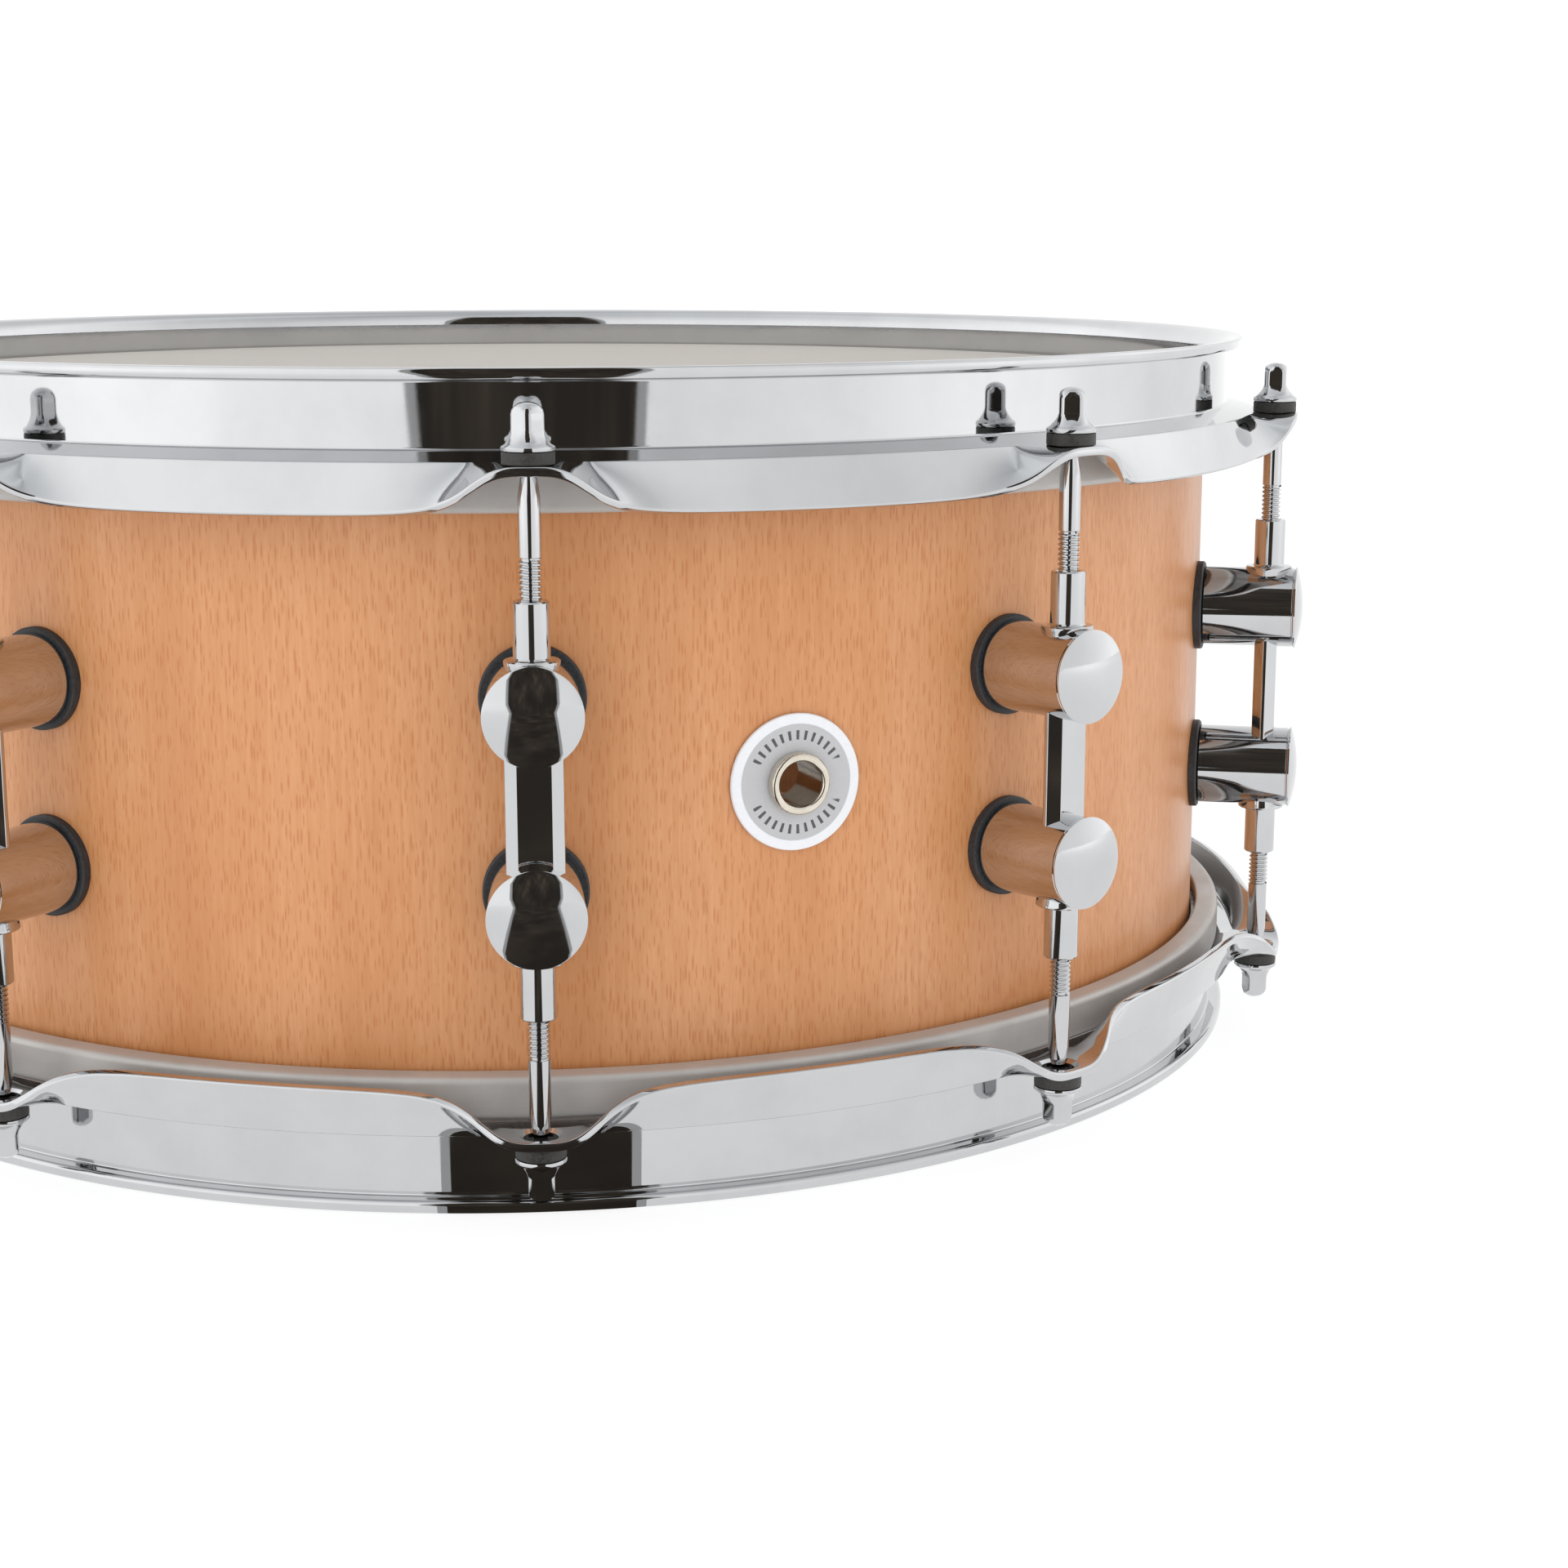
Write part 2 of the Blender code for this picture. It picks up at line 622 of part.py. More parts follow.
def build_lugs_and_rods(finish):
    lug, rod = lug_mesh(), rod_mesh()
    axis = (ROD_RADIUS, 0, 0)
    for number, bearing in enumerate(lug_bearings(), 1):
        place(f"lug_{number:02d}", lug, finish["chrome"], bearing, axis)
        place(f"batter_tension_rod_{number:02d}", rod, finish["chrome"], bearing, axis)
        place(f"snare_side_tension_rod_{number:02d}", flipped(rod), finish["chrome"], bearing, axis)


def build_mount_screws(name, heights, tip, bearing, finish):
    inside = SHELL_RADIUS - SHELL_WALL - 0.6 * MM
    for number, height in enumerate(heights, 1):
        screw = radial_screw(MOUNT_SCREW, tip, inside, inside - 2.6 * MM, (0, 0, height))
        place(f"{name}_{number}", screw, finish, bearing)


def build_clamp_screws(name, height, bearing, finish):
    face = STRAP_X + 2.8 * MM
    for number, y in enumerate((-SCREW_Y, SCREW_Y), 1):
        screw = radial_screw(CLAMP_SCREW, STRAP_X - 2.4 * MM, face, face + 2 * MM, (0, y, height))
        place(f"{name}_{number}", screw, finish, bearing)


def build_strainer(finish):
    bearing = STRAINER_BEARING
    place("strainer_base", strainer_base_mesh(), finish["chrome"], bearing)
    place("strainer_lever_pin", lever_pin_mesh(), finish["steel"], bearing, LEVER_PIVOT)
    place("strainer_lever", lever_mesh(), finish["chrome"], bearing, LEVER_PIVOT)
    place("strainer_slide", slide_mesh(), finish["chrome"], bearing)
    place("strainer_clamp_block", clamp_block_mesh(), finish["chrome"], bearing)
    place("strainer_tension_knob", knob_mesh(), finish["chrome"], bearing, (KNOB_X, 0, 0))
    plate = clamp_plate_mesh(-51 * MM, -41 * MM, -46 * MM)
    place("strainer_clamp_plate", plate, finish["chrome"], bearing)
    place("strainer_strap", strap_mesh(-40.5 * MM), finish["strap"], bearing)
    build_clamp_screws("strainer_clamp_screw", -46 * MM, bearing, finish["steel"])
    build_mount_screws("strainer_mount_screw", STRAINER_SCREWS, 180.6 * MM, bearing, finish["steel"])


def build_butt(finish):
    bearing = BUTT_BEARING
    place("butt_body", butt_body_mesh(), finish["chrome"], bearing)
    place("butt_clamp_plate", clamp_plate_mesh(-34 * MM, -24 * MM, -29 * MM), finish["chrome"], bearing)
    place("butt_strap", strap_mesh(-23 * MM), finish["strap"], bearing)
    build_clamp_screws("butt_clamp_screw", -29 * MM, bearing, finish["steel"])
    build_mount_screws("butt_mount_screw", BUTT_SCREWS, 182 * MM, bearing, finish["steel"])


def build_snares(finish):
    hinge = (-PLATE_END, 0, STRAND_Z)
    place("snare_wires", snare_wires_mesh(), finish["steel"], STRAINER_BEARING, hinge)


def main():
    for item in list(bpy.data.objects):
        bpy.data.objects.remove(item)
    finish = finishes()
    build_shell(finish)
    build_heads_and_hoops(finish)
    build_lugs_and_rods(finish)
    build_strainer(finish)
    build_butt(finish)
    build_snares(finish)


main()
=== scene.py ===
"""Looks of the snare drum: fine meshes, node materials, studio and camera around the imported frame.

Pieces are shaped in station coordinates, as the frame is: x outwards from the drum's axis, y along
the shell, z up from the middle of the shell. A bearing is an angle from the vent (-Y) towards +X.
"""

import math

import bmesh
import bpy
from mathutils import Matrix, Vector


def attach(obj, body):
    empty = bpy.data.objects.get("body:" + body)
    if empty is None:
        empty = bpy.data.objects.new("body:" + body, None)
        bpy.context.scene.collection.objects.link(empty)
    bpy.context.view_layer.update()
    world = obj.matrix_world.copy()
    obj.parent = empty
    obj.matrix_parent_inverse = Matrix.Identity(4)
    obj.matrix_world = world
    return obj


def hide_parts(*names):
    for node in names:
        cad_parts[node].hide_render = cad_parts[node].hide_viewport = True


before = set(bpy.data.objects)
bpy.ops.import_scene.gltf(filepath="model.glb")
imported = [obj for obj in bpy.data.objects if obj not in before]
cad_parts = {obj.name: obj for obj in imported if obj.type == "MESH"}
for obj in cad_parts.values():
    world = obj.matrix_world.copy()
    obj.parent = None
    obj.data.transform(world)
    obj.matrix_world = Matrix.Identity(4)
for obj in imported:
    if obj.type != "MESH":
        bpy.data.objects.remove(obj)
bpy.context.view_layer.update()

MM = 0.001
MIDDLE = 87.5 * MM
HALF_HEIGHT = 87.5 * MM
LUGS = 10
LUG_PITCH = 360 / LUGS
STRAINER_BEARING = 108
BUTT_BEARING = -72

# Rings, as in the frame but for a rounder lip and slightly wider ears
SHELL_RADIUS = 177 * MM
SHELL_WALL = 8 * MM
EDGE_HEIGHT = 73 * MM  # snare-side bearing edge
BATTER_EDGE_HEIGHT = 76.2 * MM
EDGE_OUTER, EDGE_INNER = 174.4 * MM, 173.2 * MM
FLESH_INNER, FLESH_OUTER = 178.6 * MM, 184.3 * MM
FLESH_BOTTOM, FLESH_TOP = 58.5 * MM, 67.7 * MM
HOOP_INNER, HOOP_WALL = 180.2 * MM, 182.5 * MM
LIP_RADIUS, LIP_DEPTH, LIP_BEND = 186 * MM, 2.7 * MM, 4.6 * MM
HOOP_SHEET = 2 * MM
FLANGE_HEIGHT, FLANGE_DROP = 69.3 * MM, 1.9 * MM
APRON_RADIUS, APRON_EDGE, APRON_BOTTOM = 189.6 * MM, 192 * MM, 58.8 * MM
EAR_REACH, EAR_HOLE, EAR_RIM = 8.6 * MM, 3.6 * MM, 4.6 * MM
SWING_HALF, SWING_POWER = 17 * MM, 4
RISE_HALF, RISE_POWER = 12.9 * MM, 3.6
CREASE_FROM, CREASE_TO = 10.6 * MM, 13 * MM
GATE_CORNERS = (178 * MM, -25 * MM, -83.2 * MM), (210 * MM, 25 * MM, -50 * MM)
SHELL_STEPS, HEAD_STEPS = 360, 288

# Lugs and rods, as in the frame
ROD_RADIUS = 194.7 * MM
POST_HEIGHT, POST_RADIUS = 20.4 * MM, 9.9 * MM
GASKET_RADIUS = 11.1 * MM
POST_FOOT, POST_RIM, POST_APEX = 177.35 * MM, 201.8 * MM, 203.5 * MM
SLEEVE_RADIUS, SLEEVE_END = 3.75 * MM, 42.6 * MM
THREAD_RADIUS, SHANK_RADIUS, NECK_RADIUS = 2.35 * MM, 2.3 * MM, 1.5 * MM
THREAD_PITCH = 1.06 * MM
WASHER_RADIUS = 5.25 * MM
WASHER_FOOT, WASHER_TOP = FLANGE_HEIGHT + 0.05 * MM, FLANGE_HEIGHT + 2.6 * MM
HEAD_SPINS = (20, 43, 0)
HEAD_RINGS = (  # in mm: height over the washer, turned radius, half width across the flats
    (0, 4.7, 9), (0.15, 5.25, 9), (0.4, 5.35, 9), (0.85, 5.35, 9), (1.1, 5.15, 9), (1.4, 4.6, 9),
    (1.9, 4.15, 4.3), (2.6, 3.75, 3.45), (3.4, 3.45, 2.95), (4.2, 3.28, 2.72), (7.2, 3.25, 2.7),
    (8.0, 3.05, 2.7), (8.6, 2.6, 2.7), (9.05, 2.0, 2.7), (9.35, 1.3, 2.7), (9.5, 0.5, 2.7),
)

# Badge, vent, strainer and snares, as in the frame
VENT_RADIUS = 5.75 * MM
BADGE_RINGS = (  # in mm: radius, rise over the shell
    (5.75, 0.35), (5.75, 1.05), (12.2, 1.05), (12.5, 1.2), (14.2, 1.25), (14.6, 1.1), (14.75, 0.7),
    (14.6, 0.35),
)
KNOB_AXIS = 198 * MM
KNOB_RINGS = (  # in mm: turned radius, height
    (2.2, -41), (2.2, -28.6), (5.4, -28.6), (6.2, -27.9), (6.2, -19.6), (5.5, -18.8), (3.2, -18.6),
    (3.0, -18.9), (1.0, -18.9),
)
PIN_CENTRE = (188 * MM, 0, 16 * MM)
PIN_RINGS = (  # in mm: turned radius, place across the lever
    (2.4, -17.2), (3.3, -16.6), (3.4, -15.4), (2, -15.3), (2, 15.3), (3.4, 15.4), (3.3, 16.6),
    (2.4, 17.2),
)
RIBBON_RADIUS, RIBBON_LEVEL, RIBBON_END = 185.7 * MM, -75.9 * MM, 150.5 * MM
RIBBON_HALF_WIDTH = 6.3 * MM
STRANDS, STRAND_PITCH, STRAND_LEVEL = 20, 2.1 * MM, -75.05 * MM
PLATE_BOTTOM, PLATE_TOP = -75.4 * MM, -74.15 * MM

# Studio
LENS_BEARING = -18
LENS_REACH, LENS_HEIGHT = 727.6 * MM, MIDDLE + 115 * MM
LENS_YAW, LENS_PITCH = math.radians(5.355), math.radians(11.625)
LENS_FOCAL, LENS_SENSOR = 62.46, 36
SKY_HEIGHTS = (  # upward part of a direction, shade
    (0, 1.0), (0.42, 0.96), (0.6, 0.88), (0.75, 0.79), (0.87, 0.7), (1, 0.6),
)
SKY_ROUND = (  # angle towards the camera's right, shade
    (-180, 1.0), (-100, 1.1), (-62, 1.22), (-47, 1.15), (-38, 1.03), (-25, 0.99), (18, 0.82),
    (33, 0.86), (49, 0.93), (66, 1.1), (76, 1.16), (97, 0.96), (111, 0.85), (130, 0.8), (180, 1.0),
)
SKY_STRENGTH, SKY_COOL = 1.25, 0.06
SHADE_SCALE = 1.25  # a ramp holds shades up to one, so those round the sky are divided by this
FLOOR, FLOOR_REACH = -0.6 * MM, 6
# painted light on the floor: its glow near the drum, the gain on the sky's shades far off, and the
# distances between them
FLOOR_NEAR, FLOOR_FAR = 0.4, 2.2
FLOOR_GLOW, FLOOR_GAIN = 0.87, 1.35
# the gap behind the camera, and the sheets of its painted shade on the floor
GAP_START, GAP_END, GAP_STEP, GAP_TOP = 184 * MM, 1.25, 0.12, 2.6
GAP_NEAR, GAP_FAR, GAP_WIDE = 19.5 * MM, 290 * MM, 335 * MM
GAP_RIM, GAP_LIFT = 1.11, 0.2 * MM

WEIGHED = {}  # shaded meshes that pieces share, by the name of the mesh they come from


# ---------------------------------------------------------------- mesh helpers


def mesh_of(points, faces, sharp=30):
    """Mesh from points and faces, facing outwards, smooth but for its sharp edges."""
    mesh = bpy.data.meshes.new("piece")
    mesh.from_pydata([tuple(point) for point in points], [], faces)
    work = bmesh.new()
    work.from_mesh(mesh)
    bmesh.ops.recalc_face_normals(work, faces=work.faces)
    work.to_mesh(mesh)
    work.free()
    smooth(mesh, sharp)
    return mesh


def smooth(mesh, sharp=30):
    mesh.shade_smooth()
    mesh.set_sharp_from_angle(angle=math.radians(sharp))


def turned(radius, along, turn, axis):
    """Point at a radius and an angle round an axis, and at a distance along it."""
    across, up = radius * math.cos(turn), radius * math.sin(turn)
    if axis == "X":
        return Vector((along, across, up))
    if axis == "Y":
        return Vector((across, along, up))
    return Vector((across, up, along))


def rounded(corners, steps=4):
    """Outline from (x, y, radius) corners, each replaced by a small arc of that radius."""
    points = []
    side_share = 0.45  # the most of a side that one arc takes
    for k, (x, y, radius) in enumerate(corners):
        if not radius:
            points.append((x, y))
            continue
        here = Vector((x, y))
        back = Vector(corners[k - 1][:2]) - here
        ahead = Vector(corners[(k + 1) % len(corners)][:2]) - here
        slope = max(math.tan(back.angle(ahead, math.pi) / 2), 1e-4)
        reach = min(radius / slope, side_share * back.length, side_share * ahead.length)
        first, last = here + back.normalized() * reach, here + ahead.normalized() * reach
        for step in range(steps + 1):
            t = step / steps
            points.append(tuple((1 - t) ** 2 * first + 2 * t * (1 - t) * here + t * t * last))
    return points


def wound(rows, columns, closed=True):
    """Faces over rows of points that each form a loop; the rows close too, or end in flat faces."""
    faces = []
    for row in range(rows if closed else rows - 1):
        here, there = row * columns, (row + 1) % rows * columns
        for k in range(columns):
            n = (k + 1) % columns
            faces.append((here + k, here + n, there + n, there + k))
    if not closed:
        faces += [tuple(range(columns)), tuple(range((rows - 1) * columns, rows * columns))]
    return faces


def lathe(profile, steps, axis="Z", centre=(0, 0, 0), sharp=30):
    """Ring turned from a closed outline of (radius, distance along the axis) points."""
    points = []
    for step in range(steps):
        turn = 2 * math.pi * step / steps
        points += [turned(r, along, turn, axis) + Vector(centre) for r, along in profile]
    return mesh_of(points, wound(steps, len(profile)), sharp)


def spindle(profile, steps, axis="Z", centre=(0, 0, 0), sharp=30):
    """Solid turned from an open outline, closed by a flat face at each end."""
    points = []
    for r, along in profile:
        for step in range(steps):
            turn = 2 * math.pi * (step + 0.5) / steps
            points.append(turned(r, along, turn, axis) + Vector(centre))
    return mesh_of(points, wound(len(profile), steps, False), sharp)


def prism(outline, low, high, axis):
    """Solid with an outline in the plane across an axis, between two places along it."""
    points = []
    for c in (low, high):
        points += [{"X": (c, a, b), "Y": (a, c, b), "Z": (a, b, c)}[axis] for a, b in outline]
    return mesh_of(points, wound(2, len(outline), False))


def block(low, high):
    outline = [(low[0], low[1]), (high[0], low[1]), (high[0], high[1]), (low[0], high[1])]
    return prism(outline, low[2], high[2], "Z")


def joined(*meshes):
    """One mesh that holds several."""
    work = bmesh.new()
    for mesh in meshes:
        work.from_mesh(mesh)
    whole = bpy.data.meshes.new("piece")
    work.to_mesh(whole)
    work.free()
    smooth(whole)
    return whole


def evaluated(mesh, add_modifiers):
    """Mesh with modifiers applied, which a function adds to an object that holds it."""
    body = bpy.data.objects.new("body", mesh)
    bpy.context.scene.collection.objects.link(body)
    add_modifiers(body)
    graph = bpy.context.evaluated_depsgraph_get()
    result = bpy.data.meshes.new_from_object(body.evaluated_get(graph))
    bpy.data.objects.remove(body)
    return result


def combined(mesh, tool, operation):
    """Mesh joined with or cut by another."""
    cutter = bpy.data.objects.new("cutter", tool)
    bpy.context.scene.collection.objects.link(cutter)

    def boolean(body):
        modifier = body.modifiers.new("Boolean", "BOOLEAN")
        modifier.operation = operation
        modifier.solver = "EXACT"
        modifier.object = cutter

    result = evaluated(mesh, boolean)
    bpy.data.objects.remove(cutter)
    smooth(result)
    return result


def union(first, *others):
    for other in others:
        first = combined(first, other, "UNION")
    return first


def cut(mesh, *tools):
    for tool in tools:
        mesh = combined(mesh, tool, "DIFFERENCE")
    return mesh


def bevelled(mesh, width, segments=2, sharp=30):
    """Mesh with its sharp edges rounded."""

    def bevel(body):
        modifier = body.modifiers.new("Bevel", "BEVEL")
        modifier.width = width
        modifier.segments = segments
        modifier.limit_method = "ANGLE"
        modifier.angle_limit = math.radians(sharp)

    result = evaluated(mesh, bevel)
    smooth(result, 40)
    return result


def weighted(mesh):
    """Mesh shaded by its large faces, so that the small ones beside them leave them flat."""

    def weigh(body):
        modifier = body.modifiers.new("Weighted", "WEIGHTED_NORMAL")
        modifier.keep_sharp = True

    return evaluated(mesh, weigh)


def bearing_turn(bearing):
    return Matrix.Rotation(math.radians(bearing - 90), 4, "Z")


def at_bearing(mesh, bearing):
    """Copy of a station mesh, turned to a bearing."""
    copy = mesh.copy()
    copy.transform(bearing_turn(bearing))
    return copy


def flipped(mesh):
    """Mirror image below the middle of the shell, still facing outwards."""
    copy = mesh.copy()
    copy.transform(Matrix.Scale(-1, 4, (0, 0, 1)))
    copy.flip_normals()
    return copy


def lug_bearings():
    return [LUG_PITCH * (lug + 0.5) for lug in range(LUGS)]


def piece(name, mesh, finish, body="drum", nodes=(), bearing=90):
    """Object from a station-coordinate mesh, at its bearing and on its body."""
    if mesh.name not in WEIGHED:
        WEIGHED[mesh.name] = weighted(mesh)
        WEIGHED[mesh.name].materials.append(finish)
    item = bpy.data.objects.new(name, WEIGHED[mesh.name])
    bpy.context.scene.collection.objects.link(item)
    item.matrix_world = Matrix.Translation((0, 0, MIDDLE)) @ bearing_turn(bearing)
    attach(item, body)
    if nodes:
        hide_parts(*nodes)
    return item


# ---------------------------------------------------------------- material helpers


class Nodes:
    """A node tree under construction, with short calls for the nodes that it needs."""

    def __init__(self, tree, shader):
        self.tree, self.shader = tree, tree.nodes[shader]

    def node(self, kind, inputs=(), **settings):
        """New node with its settings, its inputs linked from a socket or set to a value."""
        made = self.tree.nodes.new(kind)
        for key, value in settings.items():
            setattr(made, key, value)
        for key, value in dict(inputs).items():
            if isinstance(value, bpy.types.NodeSocket):
                self.tree.links.new(value, made.inputs[key])
            else:
                made.inputs[key].default_value = value
        return made

    def put(self, name, value):
        self.shader.inputs[name].default_value = value

    def link(self, output, name):
        self.tree.links.new(output, self.shader.inputs[name])

    def place(self, scale=(1, 1, 1)):
        """Object coordinates, stretched."""
        source = self.node("ShaderNodeTexCoord").outputs["Object"]
        return self.node("ShaderNodeMapping", {"Vector": source, "Scale": scale}).outputs["Vector"]

    def split(self, vector):
        return self.node("ShaderNodeSeparateXYZ", {"Vector": vector}).outputs

    def unrolled(self, radius, stretch):
        """Coordinates on a cylinder laid flat: distance round it, and height by a stretch."""
        x, y, z = self.split(self.place())
        across = self.math("MULTIPLY", self.math("ARCTAN2", y, x), radius)
        flat = {"X": across, "Y": self.math("MULTIPLY", z, stretch)}
        return self.node("ShaderNodeCombineXYZ", flat).outputs["Vector"]

    def noise(self, vector, scale, detail=4.0, roughness=0.5):
        inputs = {"Vector": vector, "Scale": scale, "Detail": detail, "Roughness": roughness}
        return self.node("ShaderNodeTexNoise", inputs).outputs["Fac"]

    def ramp(self, value, stops):
        """Colour by a value, from (place, colour) stops in order."""
        made = self.node("ShaderNodeValToRGB", {"Fac": value})
        elements = made.color_ramp.elements
        while len(elements) < len(stops):
            elements.new(0.5)
        for element, (position, color) in zip(elements, stops):
            element.position = position
            element.color = (*color, 1)
        return made.outputs["Color"]

    def between(self, value, low, high, to_low=0.0, to_high=1.0):
        """Value mapped from one range to another, clamped."""
        inputs = {"Value": value, "From Min": low, "From Max": high, "To Min": to_low, "To Max": to_high}
        return self.node("ShaderNodeMapRange", inputs).outputs["Result"]

    def mix(self, factor, first, second, blend="MIX"):
        """Mixture of two colours, each a socket or a plain colour."""
        pair = [c if isinstance(c, bpy.types.NodeSocket) else (*c, 1) for c in (first, second)]
        inputs = {0: factor, 6: pair[0], 7: pair[1]}
        return self.node("ShaderNodeMix", inputs, data_type="RGBA", blend_type=blend).outputs[2]

    def math(self, operation, first, second=0.5, third=0.5):
        inputs = {0: first, 1: second, 2: third}
        return self.node("ShaderNodeMath", inputs, operation=operation).outputs["Value"]


class Finish(Nodes):
    """A surface material under construction."""

    def __init__(self, name, color, roughness, metallic=0.0):
        self.material = bpy.data.materials.new(name)
        self.material.use_nodes = True
        super().__init__(self.material.node_tree, "Principled BSDF")
        self.put("Base Color", (*color, 1))
        self.put("Roughness", roughness)
        self.put("Metallic", metallic)

    def fade(self, value, low, high, share, first, second):
        """Colour that leaves the first for a share of the second as a value goes from low to high."""
        return self.mix(self.between(value, low, high, 0.0, share), first, second)

    def color(self, value, low, high, share, first, second):
        self.link(self.fade(value, low, high, share, first, second), "Base Color")

    def gloss(self, value, low, high, to_low, to_high):
        self.link(self.between(value, low, high, to_low, to_high), "Roughness")

    def bump(self, height, strength, distance):
        inputs = {"Height": height, "Strength": strength, "Distance": distance}
        self.link(self.node("ShaderNodeBump", inputs).outputs["Normal"], "Normal")


def scaled(color, factor):
    return tuple(factor * c for c in color)


def chrome_finish():
    """Mirror plating over pressed metal: faint waviness and hairline polish marks."""
    tint = (0.60, 0.605, 0.615)
    made = Finish("chrome", tint, 0.04, 1.0)
    space = made.place()
    haze = made.noise(space, 60, 5.0, 0.6)
    made.color(haze, 0.4, 0.7, 1.0, tint, scaled(tint, 0.94))
    made.gloss(haze, 0.35, 0.75, 0.02, 0.07)
    wave = made.noise(space, 35, 1.0)
    scratches = made.noise(made.place((1, 1, 14)), 700, 3.0)
    made.bump(made.math("ADD", wave, made.math("MULTIPLY", scratches, 0.02)), 0.1, 0.0005)
    return made.material


def beech_finish():
    """Clear-lacquered beech veneer: pink-tan ground, soft upright figure and short dark rays."""
    made = Finish("beech", (0.60, 0.31, 0.15), 0.38)
    dark, middle, pale = (0.62, 0.262, 0.096), (0.705, 0.325, 0.138), (0.765, 0.375, 0.178)
    figure = made.noise(made.unrolled(SHELL_RADIUS, 0.12), 38, 4.0, 0.55)
    ground = made.ramp(figure, ((0.30, dark), (0.50, middle), (0.72, pale)))
    fibre = made.noise(made.unrolled(SHELL_RADIUS, 0.06), 1100, 3.0, 0.6)
    ground = made.fade(fibre, 0.35, 0.7, 0.42, ground, (0.55, 0.205, 0.055))
    inputs = {"Vector": made.unrolled(SHELL_RADIUS, 0.14), "Scale": 1250.0, "Randomness": 1.0}
    cells = made.node("ShaderNodeTexVoronoi", inputs, voronoi_dimensions="2D").outputs
    chance = made.node("ShaderNodeSeparateColor", {"Color": cells["Color"]}).outputs["Red"]
    size = made.between(chance, 0.0, 1.0, 0.05, 0.34)
    inside = made.math("SUBTRACT", size, cells["Distance"])
    made.color(inside, -0.08, 0.10, 0.44, ground, (0.50, 0.145, 0.03))
    made.gloss(fibre, 0.3, 0.7, 0.30, 0.42)
    made.put("Coat Weight", 0.1)
    made.put("Coat Roughness", 0.22)
    made.bump(fibre, 0.10, 0.0002)
    return made.material


def coated_film_finish():
    """White polyester sprayed with a gritty coat, a little greyer where sticks land."""
    made = Finish("coated_film", (0.80, 0.77, 0.73), 0.8)
    made.put("Specular IOR Level", 0.25)
    space = made.place()
    cloud = made.noise(space, 14, 4.0)
    grit = made.noise(space, 2600, 2.0, 0.7)
    speck = made.fade(grit, 0.4, 0.7, 0.25, (0.71, 0.67, 0.62), (0.58, 0.545, 0.50))
    made.color(cloud, 0.35, 0.7, 0.3, speck, (0.64, 0.60, 0.55))
    made.gloss(grit, 0.3, 0.7, 0.7, 0.88)
    made.put("Transmission Weight", 0.3)
    made.bump(grit, 0.35, 0.00012)
    return made.material


def clear_film_finish():
    """Thin hazy film of the snare side, smooth with faint streaks."""
    made = Finish("clear_film", (0.74, 0.75, 0.74), 0.22)
    streak = made.noise(made.place((1, 6, 1)), 30, 4.0)
    made.color(streak, 0.3, 0.7, 0.5, (0.76, 0.77, 0.76), (0.66, 0.67, 0.67))
    made.gloss(streak, 0.3, 0.7, 0.14, 0.32)
    made.put("Transmission Weight", 0.8)
    made.bump(streak, 0.02, 0.0001)
    return made.material


def alloy_finish():
    """Satin drawn aluminium: fine lines that run round the ring."""
    made = Finish("satin_alloy", (0.62, 0.615, 0.605), 0.5, 0.35)
    lines = made.noise(made.place((0.02, 0.02, 1)), 2400, 3.0, 0.7)
    smear = made.noise(made.place(), 55, 5.0, 0.65)
    made.color(smear, 0.35, 0.7, 0.55, (0.60, 0.58, 0.555), (0.45, 0.43, 0.41))
    made.gloss(lines, 0.3, 0.7, 0.38, 0.56)
    made.bump(lines, 0.15, 0.0001)
    return made.material


def rubber_finish(name="rubber", color=(0.018, 0.019, 0.021)):
    """Black rubber or nylon with a fine grain."""
    made = Finish(name, color, 0.5)
    grain = made.noise(made.place(), 1500, 3.0)
    made.color(grain, 0.3, 0.7, 1.0, color, scaled(color, 2.2))
    made.gloss(grain, 0.3, 0.7, 0.42, 0.62)
    made.bump(grain, 0.2, 0.0002)
    return made.material


def nickel_finish():
    """Warm plated brass, burnished where the tube was rolled over."""
    made = Finish("nickel", (0.74, 0.69, 0.60), 0.16, 1.0)
    rub = made.noise(made.place((4, 1, 1)), 260, 4.0)
    made.color(rub, 0.35, 0.7, 0.6, (0.78, 0.73, 0.64), (0.60, 0.53, 0.42))
    made.gloss(rub, 0.3, 0.7, 0.10, 0.26)
    made.bump(rub, 0.1, 0.0002)
    return made.material


